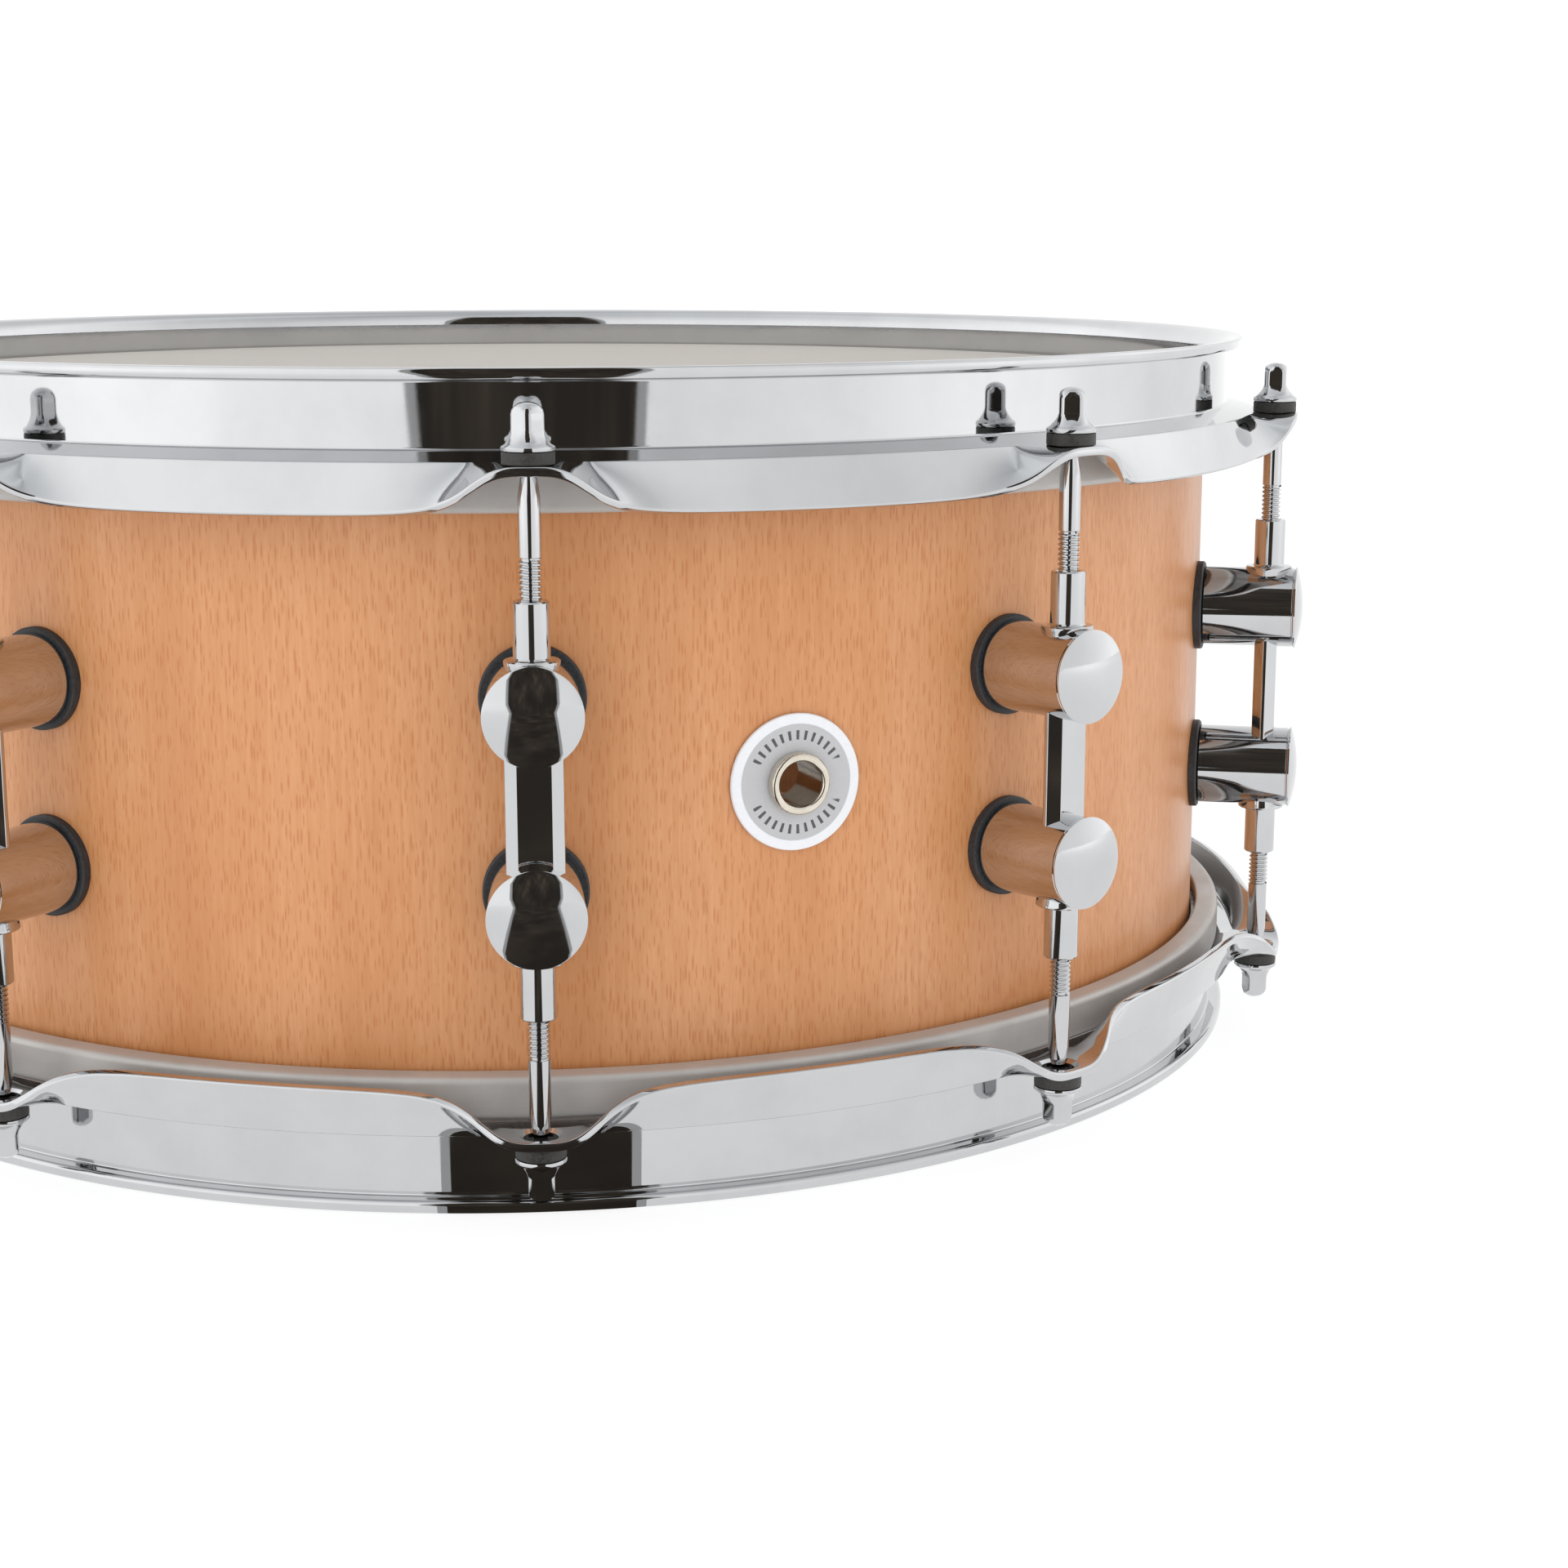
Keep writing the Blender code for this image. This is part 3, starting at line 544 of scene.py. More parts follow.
def badge_finish():
    """Enamelled disc: a white band round a grey field with plain dashes on two arcs."""
    made = Finish("badge_enamel", (0.85, 0.86, 0.88), 0.3)
    field, field_inside = 12.45 * MM, 12.30 * MM
    _, across, up = made.split(made.place())
    square = made.math("ADD", made.math("MULTIPLY", across, across), made.math("MULTIPLY", up, up))
    radius = made.math("SQRT", square)
    grey = made.between(radius, field, field_inside)
    color = made.mix(grey, (0.90, 0.91, 0.94), (0.56, 0.56, 0.575))
    line = made.math("COMPARE", radius, field, 0.12 * MM)
    color = made.mix(made.math("MULTIPLY", line, 0.5), color, (0.42, 0.42, 0.45))
    band = made.math("COMPARE", radius, 10.1 * MM, 1.0 * MM)
    turn = made.math("ARCTAN2", up, across)
    spoke = made.math("PINGPONG", made.math("MULTIPLY", turn, 11.0), 1.0)
    dash = made.between(spoke, 0.60, 0.68)
    arcs = made.between(made.math("ABSOLUTE", up), 4.2 * MM, 4.6 * MM)
    ink = made.math("MULTIPLY", made.math("MULTIPLY", band, dash), arcs)
    color = made.mix(made.math("MULTIPLY", ink, 0.95), color, (0.05, 0.05, 0.055))
    grain = made.noise(made.place(), 900, 3.0)
    made.color(grain, 0.3, 0.7, 0.08, color, (0.3, 0.3, 0.3))
    made.gloss(grain, 0.3, 0.7, 0.22, 0.36)
    sunk, rough = made.math("MULTIPLY", grey, -0.6), made.math("MULTIPLY", grain, 0.1)
    made.bump(made.math("ADD", sunk, rough), 0.3, 0.0002)
    return made.material


def steel_finish(name="bright_steel", color=(0.60, 0.60, 0.61), roughness=0.22):
    """Bare bright metal, rubbed duller in places."""
    made = Finish(name, color, roughness, 1.0)
    rub = made.noise(made.place(), 420, 4.0, 0.6)
    made.color(rub, 0.3, 0.75, 0.6, color, scaled(color, 0.72))
    made.gloss(rub, 0.3, 0.7, roughness * 0.7, roughness * 1.5)
    made.bump(rub, 0.1, 0.0002)
    return made.material


def strap_finish():
    """Milky plastic ribbon with faint lengthwise drawing lines."""
    made = Finish("strap_film", (0.78, 0.78, 0.76), 0.25)
    lines = made.noise(made.place((0.1, 1, 0.1)), 1800, 3.0)
    made.color(lines, 0.3, 0.7, 0.5, (0.80, 0.80, 0.78), (0.68, 0.68, 0.67))
    made.gloss(lines, 0.3, 0.7, 0.18, 0.34)
    made.bump(lines, 0.12, 0.0002)
    return made.material


# ---------------------------------------------------------------- pressed hoops


def fade(distance, full, none):
    """One up to a distance, then a smooth fall to nothing at another."""
    share = min(max((distance - full) / (none - full), 0), 1)
    return (1 + math.cos(math.pi * share)) / 2


def bell(distance, half_way, power):
    """One at no distance, a half at half_way, and nothing far off."""
    return 1 / (1 + (distance / half_way) ** power)


def apron_line(distance):
    """Outer face from the flange's corner to the edge: a straight ear, then a scooped apron."""
    depth = FLANGE_HEIGHT - APRON_BOTTOM
    corner = Vector((APRON_RADIUS, FLANGE_HEIGHT))
    rise = depth * bell(distance, RISE_HALF, RISE_POWER)
    swing = EAR_REACH * bell(distance, SWING_HALF, SWING_POWER)
    edge = Vector((APRON_EDGE + swing, APRON_BOTTOM + rise))
    drop = 0.5 * (corner.y - edge.y)
    scooped = corner + Vector((drop * ((APRON_EDGE - APRON_RADIUS) / depth), -drop))
    bend = scooped.lerp((corner + edge) / 2, 0.35 + 0.65 * fade(distance, CREASE_FROM, CREASE_TO))
    steps = 8
    shares = [step / steps for step in range(steps + 1)]
    return [(1 - t) ** 2 * corner + 2 * t * (1 - t) * bend + t * t * edge for t in shares]


def hoop_section(distance):
    """Rounded outline of the pressed sheet at a distance along the hoop from the nearest lug."""
    outer = apron_line(distance)
    inner = []
    for k in range(1, len(outer)):
        along = (outer[k] - outer[k - 1]).normalized()
        inner.append(outer[k] - Vector((-along.y, along.x)) * HOOP_SHEET)
    lip_bottom = HALF_HEIGHT - LIP_DEPTH
    corners = []
    for step in range(7):
        turn = math.radians(15 * step)
        reach, fall = LIP_BEND * (1 - math.cos(turn)), LIP_BEND * (1 - math.sin(turn))
        corners.append((HOOP_INNER + reach, HALF_HEIGHT - fall, 0))
    corners += [(LIP_RADIUS, HALF_HEIGHT, 1.1 * MM)]
    corners += [(LIP_RADIUS, lip_bottom, 1.5 * MM), (HOOP_WALL, lip_bottom, 0.4 * MM)]
    corners += [(HOOP_WALL, FLANGE_HEIGHT + FLANGE_DROP, 0.6 * MM), (*outer[0], 0.5 * MM)]
    corners += [(*point, 0) for point in outer[1:-1]]
    corners += [(*outer[-1], 0.85 * MM), (*inner[-1], 0.85 * MM)]
    corners += [(*point, 0) for point in inner[-2:0:-1]]
    corners += [(*inner[0], 0.8 * MM), (HOOP_INNER, FLANGE_HEIGHT, 0.8 * MM)]
    return rounded(corners)


def hoop_stations():
    """Bearings of the sections, close together near a lug, each with its distance to the lug."""
    pitch = math.radians(LUG_PITCH) * APRON_RADIUS
    steps = [0.8 * MM * k for k in range(36)]
    rest = pitch / 2 - steps[-1]
    steps += [steps[-1] + rest * k / 12 for k in range(1, 13)]
    offsets = [-s for s in reversed(steps[1:-1])] + steps
    stations = []
    for lug in range(LUGS):
        for offset in offsets:
            stations.append((LUG_PITCH * (lug + 0.5) + math.degrees(offset / APRON_RADIUS), abs(offset)))
    return stations


def hoop_mesh():
    """Pressed ring with an ear at every lug and a hole in each ear."""
    points = []
    stations = hoop_stations()
    for bearing, distance in stations:
        section = hoop_section(distance)
        points += [turned(r, z, math.radians(bearing - 90), "Z") for r, z in section]
    ring = mesh_of(points, wound(len(stations), len(section)))
    low, high = FLANGE_HEIGHT - 2 * HOOP_SHEET, FLANGE_HEIGHT + HOOP_SHEET
    under = FLANGE_HEIGHT - HOOP_SHEET
    outline = [(EAR_RIM, low), (EAR_RIM, under - 0.05 * MM)]
    outline += [(EAR_HOLE, under + 0.7 * MM), (EAR_HOLE, high)]
    hole = spindle(outline, 40, "Z", (ROD_RADIUS, 0, 0))
    whole = cut(ring, joined(*[at_bearing(hole, b) for b in lug_bearings()]))
    smooth(whole, 40)
    return whole


def build_hoops(chrome):
    """Both hoops; the lower one has a gate at the strainer and at the butt for the straps."""
    hoop = hoop_mesh()
    gate = bevelled(block(*GATE_CORNERS), 3 * MM, 4)
    gates = joined(*[at_bearing(gate, b) for b in (STRAINER_BEARING, BUTT_BEARING)])
    lower = cut(flipped(hoop), gates)
    smooth(lower, 40)
    piece("batter_hoop_pressed", hoop, chrome, "drum", ["batter_hoop"])
    piece("snare_side_hoop_pressed", lower, chrome, "drum", ["snare_side_hoop"])


# ---------------------------------------------------------------- shell, heads, badge, vent


def edge_outline(height):
    """Bearing edge from the outside of the shell to its inside, with softened corners."""
    inner = SHELL_RADIUS - SHELL_WALL
    outline = [(SHELL_RADIUS, height - 2.4 * MM, 0.8 * MM), (EDGE_OUTER, height, 0.6 * MM)]
    return outline + [(EDGE_INNER, height, 0.4 * MM), (inner, height - 4.2 * MM, 0.4 * MM)]


def build_shell(beech, badge_look, nickel):
    lower = [(r, -z, radius) for r, z, radius in reversed(edge_outline(EDGE_HEIGHT))]
    mesh = lathe(rounded(edge_outline(BATTER_EDGE_HEIGHT) + lower, 3), SHELL_STEPS)
    low, high = SHELL_RADIUS - 2 * SHELL_WALL, SHELL_RADIUS + SHELL_WALL
    vent = spindle([(VENT_RADIUS, low), (VENT_RADIUS, high)], 48, "X")
    mesh = cut(mesh, at_bearing(vent, 0))
    piece("beech_shell", mesh, beech, "drum", ["shell"])
    piece("badge_disc", badge_mesh(), badge_look, "drum", ["badge_plate"], 0)
    piece("vent_eyelet", eyelet_mesh(), nickel, "drum", ["vent_grommet"], 0)


def badge_mesh():
    """Thin disc that follows the shell's curve, with a raised rounded rim."""
    steps = 96
    points = []
    for r, rise in BADGE_RINGS:
        for step in range(steps):
            turn = 2 * math.pi * step / steps
            y, z = r * MM * math.cos(turn), r * MM * math.sin(turn)
            points.append((math.sqrt(SHELL_RADIUS**2 - y * y) + rise * MM, y, z))
    return mesh_of(points, wound(len(BADGE_RINGS), steps))


def eyelet_mesh():
    """Tube through the vent, rolled over outside and inside the shell."""
    front, nose = SHELL_RADIUS + 1.3 * MM, SHELL_RADIUS + 3.8 * MM
    back = SHELL_RADIUS - SHELL_WALL - 0.5 * MM
    tail = back - 1.2 * MM
    bore, tube, flange = 4.85 * MM, 5.35 * MM, 6.65 * MM
    corners = [(bore, nose, 0.9 * MM), (flange, nose, 1.2 * MM), (flange, front, 0.3 * MM)]
    corners += [(tube, front, 0.1 * MM), (tube, back, 0.1 * MM), (flange, back, 0.3 * MM)]
    corners += [(flange, tail, 0.5 * MM), (bore, tail, 0.5 * MM)]
    return lathe(rounded(corners), 64, "X")


def head_profile(edge):
    """Film outline from its middle over the bearing edge and down into the flesh hoop's groove."""
    low, high = edge + 0.4 * MM, edge + 0.8 * MM
    outer, inner = [], []
    corner = Vector((172.2 * MM, edge - 5.3 * MM))
    steps = 8
    for step in range(steps + 1):
        turn = math.radians(90 * (1 - step / steps))
        for line, across, up in ((outer, 5.75, 6.1), (inner, 5.35, 5.7)):
            line.append(tuple(corner + Vector((math.cos(turn) * across, math.sin(turn) * up)) * MM))
    hem = (177.95, 62.6), (180.6, 62.6), (180.6, 62.2), (177.5, 62.2)
    outer += [(r * MM, z * MM) for r, z in hem]
    return [(1 * MM, high)] + outer + inner[::-1] + [(1 * MM, low)]


def flesh_hoop_mesh():
    """Hoop with a groove that holds the film's hem."""
    groove, top, bottom = 181.2 * MM, 63.0 * MM, 61.8 * MM
    corners = [(FLESH_INNER, FLESH_BOTTOM, 0.6 * MM), (FLESH_OUTER, FLESH_BOTTOM, 1.6 * MM)]
    corners += [(FLESH_OUTER, FLESH_TOP, 1.6 * MM), (FLESH_INNER, FLESH_TOP, 0.6 * MM)]
    corners += [(FLESH_INNER, top, 0.1 * MM), (groove, top, 0.1 * MM)]
    corners += [(groove, bottom, 0.1 * MM), (FLESH_INNER, bottom, 0.1 * MM)]
    return lathe(rounded(corners), HEAD_STEPS)


def build_heads(coated, clear, alloy):
    batter = spindle(head_profile(BATTER_EDGE_HEIGHT), HEAD_STEPS, sharp=50)
    snare_side = flipped(spindle(head_profile(EDGE_HEIGHT), HEAD_STEPS, sharp=50))
    ring = flesh_hoop_mesh()
    piece("batter_film", batter, coated, "drum", ["batter_head"])
    piece("snare_side_film", snare_side, clear, "drum", ["snare_side_head"])
    piece("batter_flesh_ring", ring, alloy, "drum", ["batter_flesh_hoop"])
    piece("snare_side_flesh_ring", flipped(ring), alloy, "drum", ["snare_side_flesh_hoop"])


# ---------------------------------------------------------------- lugs and tension rods


def post_mesh(height):
    """Turned post with a thin bead under its domed cap."""
    seat, cap, brow = POST_FOOT + 1.7 * MM, POST_RADIUS + 0.25 * MM, POST_RIM + 0.12 * MM
    neck, edge = POST_RADIUS - 0.12 * MM, cap - 0.15 * MM
    outline = [(POST_RADIUS - 0.2 * MM, seat), (POST_RADIUS, seat + 0.2 * MM)]
    outline += [(POST_RADIUS, POST_RIM - 0.9 * MM), (neck, POST_RIM - 0.75 * MM)]
    outline += [(neck, POST_RIM - 0.6 * MM), (edge, POST_RIM - 0.5 * MM)]
    outline += [(cap, POST_RIM - 0.3 * MM), (cap, POST_RIM), (edge, brow)]
    rise = POST_APEX - POST_RIM - 0.12 * MM
    ball = (edge**2 + rise**2) / (2 * rise)
    for step in range(1, 12):
        r = edge * (1 - step / 11.5)
        outline.append((r, POST_APEX - ball + math.sqrt(ball**2 - r**2)))
    return spindle(outline, 72, "X", (0, 0, height), 35)


def sleeve_mesh():
    """Sleeve with a chamfered mouth and a small saddle where it meets the post."""
    collar, bore = POST_HEIGHT + POST_RADIUS, THREAD_RADIUS + 0.05 * MM
    outline = [(SLEEVE_RADIUS, POST_HEIGHT), (5.5 * MM, collar - 0.9 * MM)]
    outline += [(5.7 * MM, collar - 0.1 * MM), (5.7 * MM, collar + 0.4 * MM)]
    outline += [(5.45 * MM, collar + 0.65 * MM), (SLEEVE_RADIUS + 0.25 * MM, collar + 0.75 * MM)]
    outline += [(SLEEVE_RADIUS, collar + 1.1 * MM), (SLEEVE_RADIUS, SLEEVE_END - 0.3 * MM)]
    outline += [(SLEEVE_RADIUS - 0.25 * MM, SLEEVE_END), (THREAD_RADIUS + 0.25 * MM, SLEEVE_END)]
    outline += [(bore, SLEEVE_END - 0.3 * MM), (bore, POST_HEIGHT + 2 * MM)]
    return spindle(outline, 48, "Z", (ROD_RADIUS, 0, 0), 35)


def bar_mesh():
    """Bar between the posts, with a flat front and rounded sides."""
    deep, flat, wide, side = 2.75 * MM, 3.6 * MM, 5.95 * MM, 0.5 * MM
    corners = [(deep, -flat), (deep, flat), (side, wide), (-side, wide)]
    corners += [(-x, -y) for x, y in corners]
    outline = rounded([(ROD_RADIUS + x, y, 0.5 * MM) for x, y in corners], 3)
    reach = POST_HEIGHT - 0.6 * POST_RADIUS
    return prism(outline, -reach, reach, "Z")


def lug_mesh():
    """Two posts with their sleeves, and the bar between them."""
    whole = union(post_mesh(POST_HEIGHT), sleeve_mesh())
    whole = union(whole, flipped(whole))
    whole = union(whole, bar_mesh())
    smooth(whole, 35)
    return whole


def gasket_mesh():
    """Rubber pad under each post, dished to the shell's curve."""
    steps, bore = 64, 8 * MM
    seat, curve = POST_FOOT + 1.45 * MM, SHELL_RADIUS + 0.05 * MM
    chamfer = 0.35 * MM
    rings = (  # radius, and place over the shell unless the ring lies on its curve
        (bore, None), (GASKET_RADIUS, None), (GASKET_RADIUS, seat - chamfer),
        (GASKET_RADIUS - chamfer, seat), (bore, seat),
    )
    points = []
    for r, level in rings:
        for step in range(steps):
            turn = 2 * math.pi * step / steps
            y, z = r * math.cos(turn), r * math.sin(turn)
            points.append((level or math.sqrt(curve**2 - y * y), y, z))
    pad = mesh_of(points, wound(len(rings), steps))
    pads = [pad.copy(), pad.copy()]
    for each, height in zip(pads, (POST_HEIGHT, -POST_HEIGHT)):
        each.transform(Matrix.Translation((0, 0, height)))
    return joined(*pads)


def key_head_mesh(spin):
    """Flanged, round-topped head with four flats for the key, turned by a spin."""
    steps = 72
    points = []
    for height, radius, flat in HEAD_RINGS:
        for step in range(steps):
            turn = 2 * math.pi * step / steps
            reach = min(radius, flat / max(abs(math.cos(turn)), abs(math.sin(turn)))) * MM
            out = turned(reach, WASHER_TOP + height * MM, turn + math.radians(spin), "Z")
            points.append(out + Vector((ROD_RADIUS, 0, 0)))
    return mesh_of(points, wound(len(HEAD_RINGS), steps, False), 28)


def rod_mesh(spin):
    """Plain shank with a thinner neck under the head and a rolled helical thread at its end."""
    core, thread_top, thread_end, tip = 1.9 * MM, 51 * MM, 40 * MM, 15 * MM
    shank = [(NECK_RADIUS, WASHER_TOP + 0.1 * MM), (NECK_RADIUS, 68 * MM), (SHANK_RADIUS, 63 * MM)]
    shank += [(SHANK_RADIUS, thread_top + 0.2 * MM), (core, thread_top), (core, tip)]
    body = spindle(shank, 32, "Z", (ROD_RADIUS, 0, 0), 40)
    return joined(body, thread_mesh(thread_top, thread_end), key_head_mesh(spin))


def thread_mesh(top, bottom):
    """Ridge that winds round the rod, closed at both ends."""
    per_turn, root = 20, 1.85 * MM
    count = int((top - bottom) / THREAD_PITCH * per_turn)
    section = [(root, 0.46), (THREAD_RADIUS, 0.12), (THREAD_RADIUS, -0.12), (root, -0.46)]
    points = []
    for k in range(count + 1):
        turn = 2 * math.pi * k / per_turn
        z = top - THREAD_PITCH * k / per_turn
        for r, lift in section:
            out = turned(r, z + lift * THREAD_PITCH, turn, "Z")
            points.append(out + Vector((ROD_RADIUS, 0, 0)))
    return mesh_of(points, wound(count + 1, len(section), False), 25)


def washer_mesh():
    bore = 2.6 * MM
    corners = [(bore, WASHER_FOOT, 0.1 * MM), (WASHER_RADIUS, WASHER_FOOT, 0.25 * MM)]
    corners += [(WASHER_RADIUS, WASHER_TOP, 0.3 * MM), (bore, WASHER_TOP, 0.1 * MM)]
    return lathe(rounded(corners, 3), 40, "Z", (ROD_RADIUS, 0, 0))


def lug_screw_mesh():
    """Pan-head screw and washer that hold a post from inside the shell."""
    inside = SHELL_RADIUS - SHELL_WALL - 0.5 * MM
    rings = (5.5, 0), (5.5, 0.9), (3.6, 1), (3.6, 2.2), (3.0, 3.2), (1.5, 3.6)
    outline = [(r * MM, inside - depth * MM) for r, depth in rings]
    upper = spindle(outline, 24, "X", (0, 0, POST_HEIGHT))
    return joined(upper, flipped(upper))


def build_lugs(chrome, rubber, nylon, steel):
    lug, gasket, screws = lug_mesh(), gasket_mesh(), lug_screw_mesh()
    rods, washer = [rod_mesh(spin) for spin in HEAD_SPINS], washer_mesh()
    low_rods, low_washer = [flipped(rod) for rod in rods], flipped(washer)
    for number, bearing in enumerate(lug_bearings(), 1):
        tag = f"{number:02d}"
        piece(f"lug_casting_{tag}", lug, chrome, "drum", [f"lug_{tag}"], bearing)
        piece(f"lug_gaskets_{tag}", gasket, rubber, "drum", bearing=bearing)
        piece(f"lug_screws_{tag}", screws, steel, "drum", (), bearing)
        upper, lower = rods[number % len(rods)], low_rods[(number + 1) % len(rods)]
        for side, rod_made, washer_made in (("batter", upper, washer), ("snare_side", lower, low_washer)):
            body, node = f"{side}_rod_{tag}", f"{side}_tension_rod_{tag}"
            piece(f"{side}_key_rod_{tag}", rod_made, chrome, body, [node], bearing)
            piece(f"{side}_washer_{tag}", washer_made, nylon, body, bearing=bearing)


# ---------------------------------------------------------------- strainer, butt and snares


def softened(node, name, finish, body, width=0.5 * MM):
    """Copy of a CAD node with its edges rounded over."""
    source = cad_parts[node].data.copy()
    source.materials.clear()
    work = bmesh.new()
    work.from_mesh(source)
    bmesh.ops.remove_doubles(work, verts=work.verts, dist=0.001 * MM)
    bmesh.ops.dissolve_limit(work, angle_limit=math.radians(1), verts=work.verts, edges=work.edges)
    work.to_mesh(source)
    work.free()
    made = bevelled(source, width, 3, 35)
    item = bpy.data.objects.new(name, made)
    made.materials.append(finish)
    bpy.context.scene.collection.objects.link(item)
    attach(item, body)
    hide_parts(node)
    return item


def build_strainer(chrome, steel, strap):
    softened("strainer_base", "strainer_channel", chrome, "drum", 0.6 * MM)
    softened("strainer_lever", "strainer_throw_lever", chrome, "lever", 0.9 * MM)
    softened("strainer_slide", "strainer_slide_block", chrome, "slide", 0.5 * MM)
    softened("strainer_clamp_block", "strainer_jaw", chrome, "clamp", 0.4 * MM)
    softened("strainer_clamp_plate", "strainer_jaw_plate", chrome, "clamp", 0.4 * MM)
    softened("butt_body", "butt_anchor", chrome, "drum", 0.6 * MM)
    softened("butt_clamp_plate", "butt_jaw_plate", chrome, "drum", 0.4 * MM)
    build_knob(chrome)
    build_pin(steel)
    build_screws(steel)
    for name, top, bearing, body, node in (
        ("strainer_ribbon", -40.5, STRAINER_BEARING, "clamp", "strainer_strap"),
        ("butt_ribbon", -23.0, BUTT_BEARING, "drum", "butt_strap"),
    ):
        piece(name, ribbon_mesh(top * MM), strap, body, [node], bearing)


def build_knob(chrome):
    """Knurled knob on its adjusting screw."""
    steps, knurl_from, groove_depth = 72, 6, 0.3
    points = []
    for r, z in KNOB_RINGS:
        for step in range(steps):
            groove = groove_depth if r > knurl_from and step % 4 == 0 else 0
            out = turned((r - groove) * MM, z * MM, 2 * math.pi * step / steps, "Z")
            points.append(out + Vector((KNOB_AXIS, 0, 0)))
    mesh = mesh_of(points, wound(len(KNOB_RINGS), steps, False), 40)
    nodes = ["strainer_tension_knob"]
    piece("strainer_knob", mesh, chrome, "knob", nodes, STRAINER_BEARING)


def build_pin(steel):
    mesh = spindle([(r * MM, y * MM) for r, y in PIN_RINGS], 40, "Y", PIN_CENTRE)
    nodes = ["strainer_lever_pin"]
    piece("strainer_pivot_pin", mesh, steel, "drum", nodes, STRAINER_BEARING)


def slotted_screw(radius, tip, neck, head_end, centre):
    """Screw along x with a rounded, cross-slotted head."""
    head, slot, depth = 1.8 * radius, 0.35 * MM, 0.7 * MM
    out = 1 if head_end > neck else -1
    outline = [(radius, tip), (radius, neck), (head, neck + out * 0.1 * MM)]
    outline += [(head, (neck + head_end) / 2), (0.8 * head, head_end - out * 0.2 * MM)]
    outline += [(0.5 * head, head_end)]
    body = spindle(outline, 32, "X", centre)
    _, y, z = centre
    low, high = sorted((head_end - out * depth, head_end + out * depth))
    for wide, tall in ((0.6 * head, slot), (slot, 0.6 * head)):
        body = cut(body, block((low, y - wide, z - tall), (high, y + wide, z + tall)))
    return body


def build_screws(steel):
    inside = SHELL_RADIUS - SHELL_WALL - 0.6 * MM
    face = 188.5 * MM
    for fitting, bearing, body, clamp_z, heights, tip in (
        ("strainer", STRAINER_BEARING, "clamp", -46, (20, -27), 180.6),
        ("butt", BUTT_BEARING, "drum", -29, (-13, -45), 182.0),
    ):
        for number, y in enumerate((-8.6, 8.6), 1):
            mesh = slotted_screw(1.5 * MM, 183.3 * MM, face, face + 2 * MM, (0, y * MM, clamp_z * MM))
            node = f"{fitting}_clamp_screw_{number}"
            piece(f"{fitting}_jaw_screw_{number}", mesh, steel, body, [node], bearing)
        for number, z in enumerate(heights, 1):
            mesh = slotted_screw(2 * MM, tip * MM, inside, inside - 2.6 * MM, (0, 0, z * MM))
            node = f"{fitting}_mount_screw_{number}"
            piece(f"{fitting}_shell_screw_{number}", mesh, steel, "drum", [node], bearing)


def ribbon_mesh(top):
    """Strap that hangs from its clamp and bends in under the hoop to the snares."""
    half, bend = 0.2 * MM, 5 * MM
    centre = Vector((RIBBON_RADIUS - bend, RIBBON_LEVEL + bend))
    inner, outer = [(RIBBON_RADIUS - half, top)], [(RIBBON_RADIUS + half, top)]
    for step in range(19):
        turn = math.radians(5 * step)
        ray = Vector((math.cos(turn), -math.sin(turn)))
        inner.append(tuple(centre + ray * (bend - half)))
        outer.append(tuple(centre + ray * (bend + half)))
    inner.append((RIBBON_END, RIBBON_LEVEL + half))
    outer.append((RIBBON_END, RIBBON_LEVEL - half))
    return prism(inner + outer[::-1], -RIBBON_HALF_WIDTH, RIBBON_HALF_WIDTH, "Y")


def coil_mesh():
    """One coiled snare strand between the end plates."""
    length, pitch, coil, wire = 296 * MM, 2.0 * MM, 0.66 * MM, 0.22 * MM
    per_turn, sides = 8, 4
    count = int(length / pitch * per_turn)
    points = []
    for k in range(count + 1):
        turn = 2 * math.pi * k / per_turn
        x = -length / 2 + pitch * k / per_turn
        radial = Vector((0, math.cos(turn), math.sin(turn)))
        for side in range(sides):
            around = 2 * math.pi * side / sides
            lift = math.cos(around) * radial + math.sin(around) * Vector((1, 0, 0))
            points.append(Vector((x, 0, 0)) + radial * coil + wire * lift)
    return mesh_of(points, wound(count + 1, sides, False), 60)


def build_snares(steel, brass):
    """Strands side by side under the snare-side head, held by a plate at each end."""
    half_width = (STRANDS - 1) / 2 * STRAND_PITCH
    coil, look = coil_mesh(), "bright_steel"
    for strand in range(STRANDS):
        name = f"snare_strand_{strand + 1:02d}"
        item = piece(name, coil, steel, "snares", (), STRAINER_BEARING)
        offset = Matrix.Translation((0, strand * STRAND_PITCH - half_width, STRAND_LEVEL))
        item.matrix_world = Matrix.Translation((0, 0, MIDDLE)) @ bearing_turn(STRAINER_BEARING) @ offset
    side = half_width + 1.6 * MM
    for number, (a, b) in enumerate(((140, 160), (-160, -140)), 1):
        plate = block((a * MM, -side, PLATE_BOTTOM), (b * MM, side, PLATE_TOP))
        plate = bevelled(plate, 0.35 * MM, 2)
        nodes = ["snare_wires"] if number == 1 else []
        piece(f"snare_end_plate_{number}", plate, brass, "snares", nodes, STRAINER_BEARING)


# ---------------------------------------------------------------- studio and camera


def stage_finish(name, color, glow):
    """Matt stage material, lit from within by a glow."""
    made = Finish(name, color, 0.9)
    made.put("Specular IOR Level", 0.0)
    made.put("Emission Color", (1, 1, 1, 1))
    made.put("Emission Strength", glow)
    return made


def shades_round():
    """Ramp stops for the shades of the sky once round."""
    return [((bearing + 180) / 360, (shade / SHADE_SCALE,) * 3) for bearing, shade in SKY_ROUND]


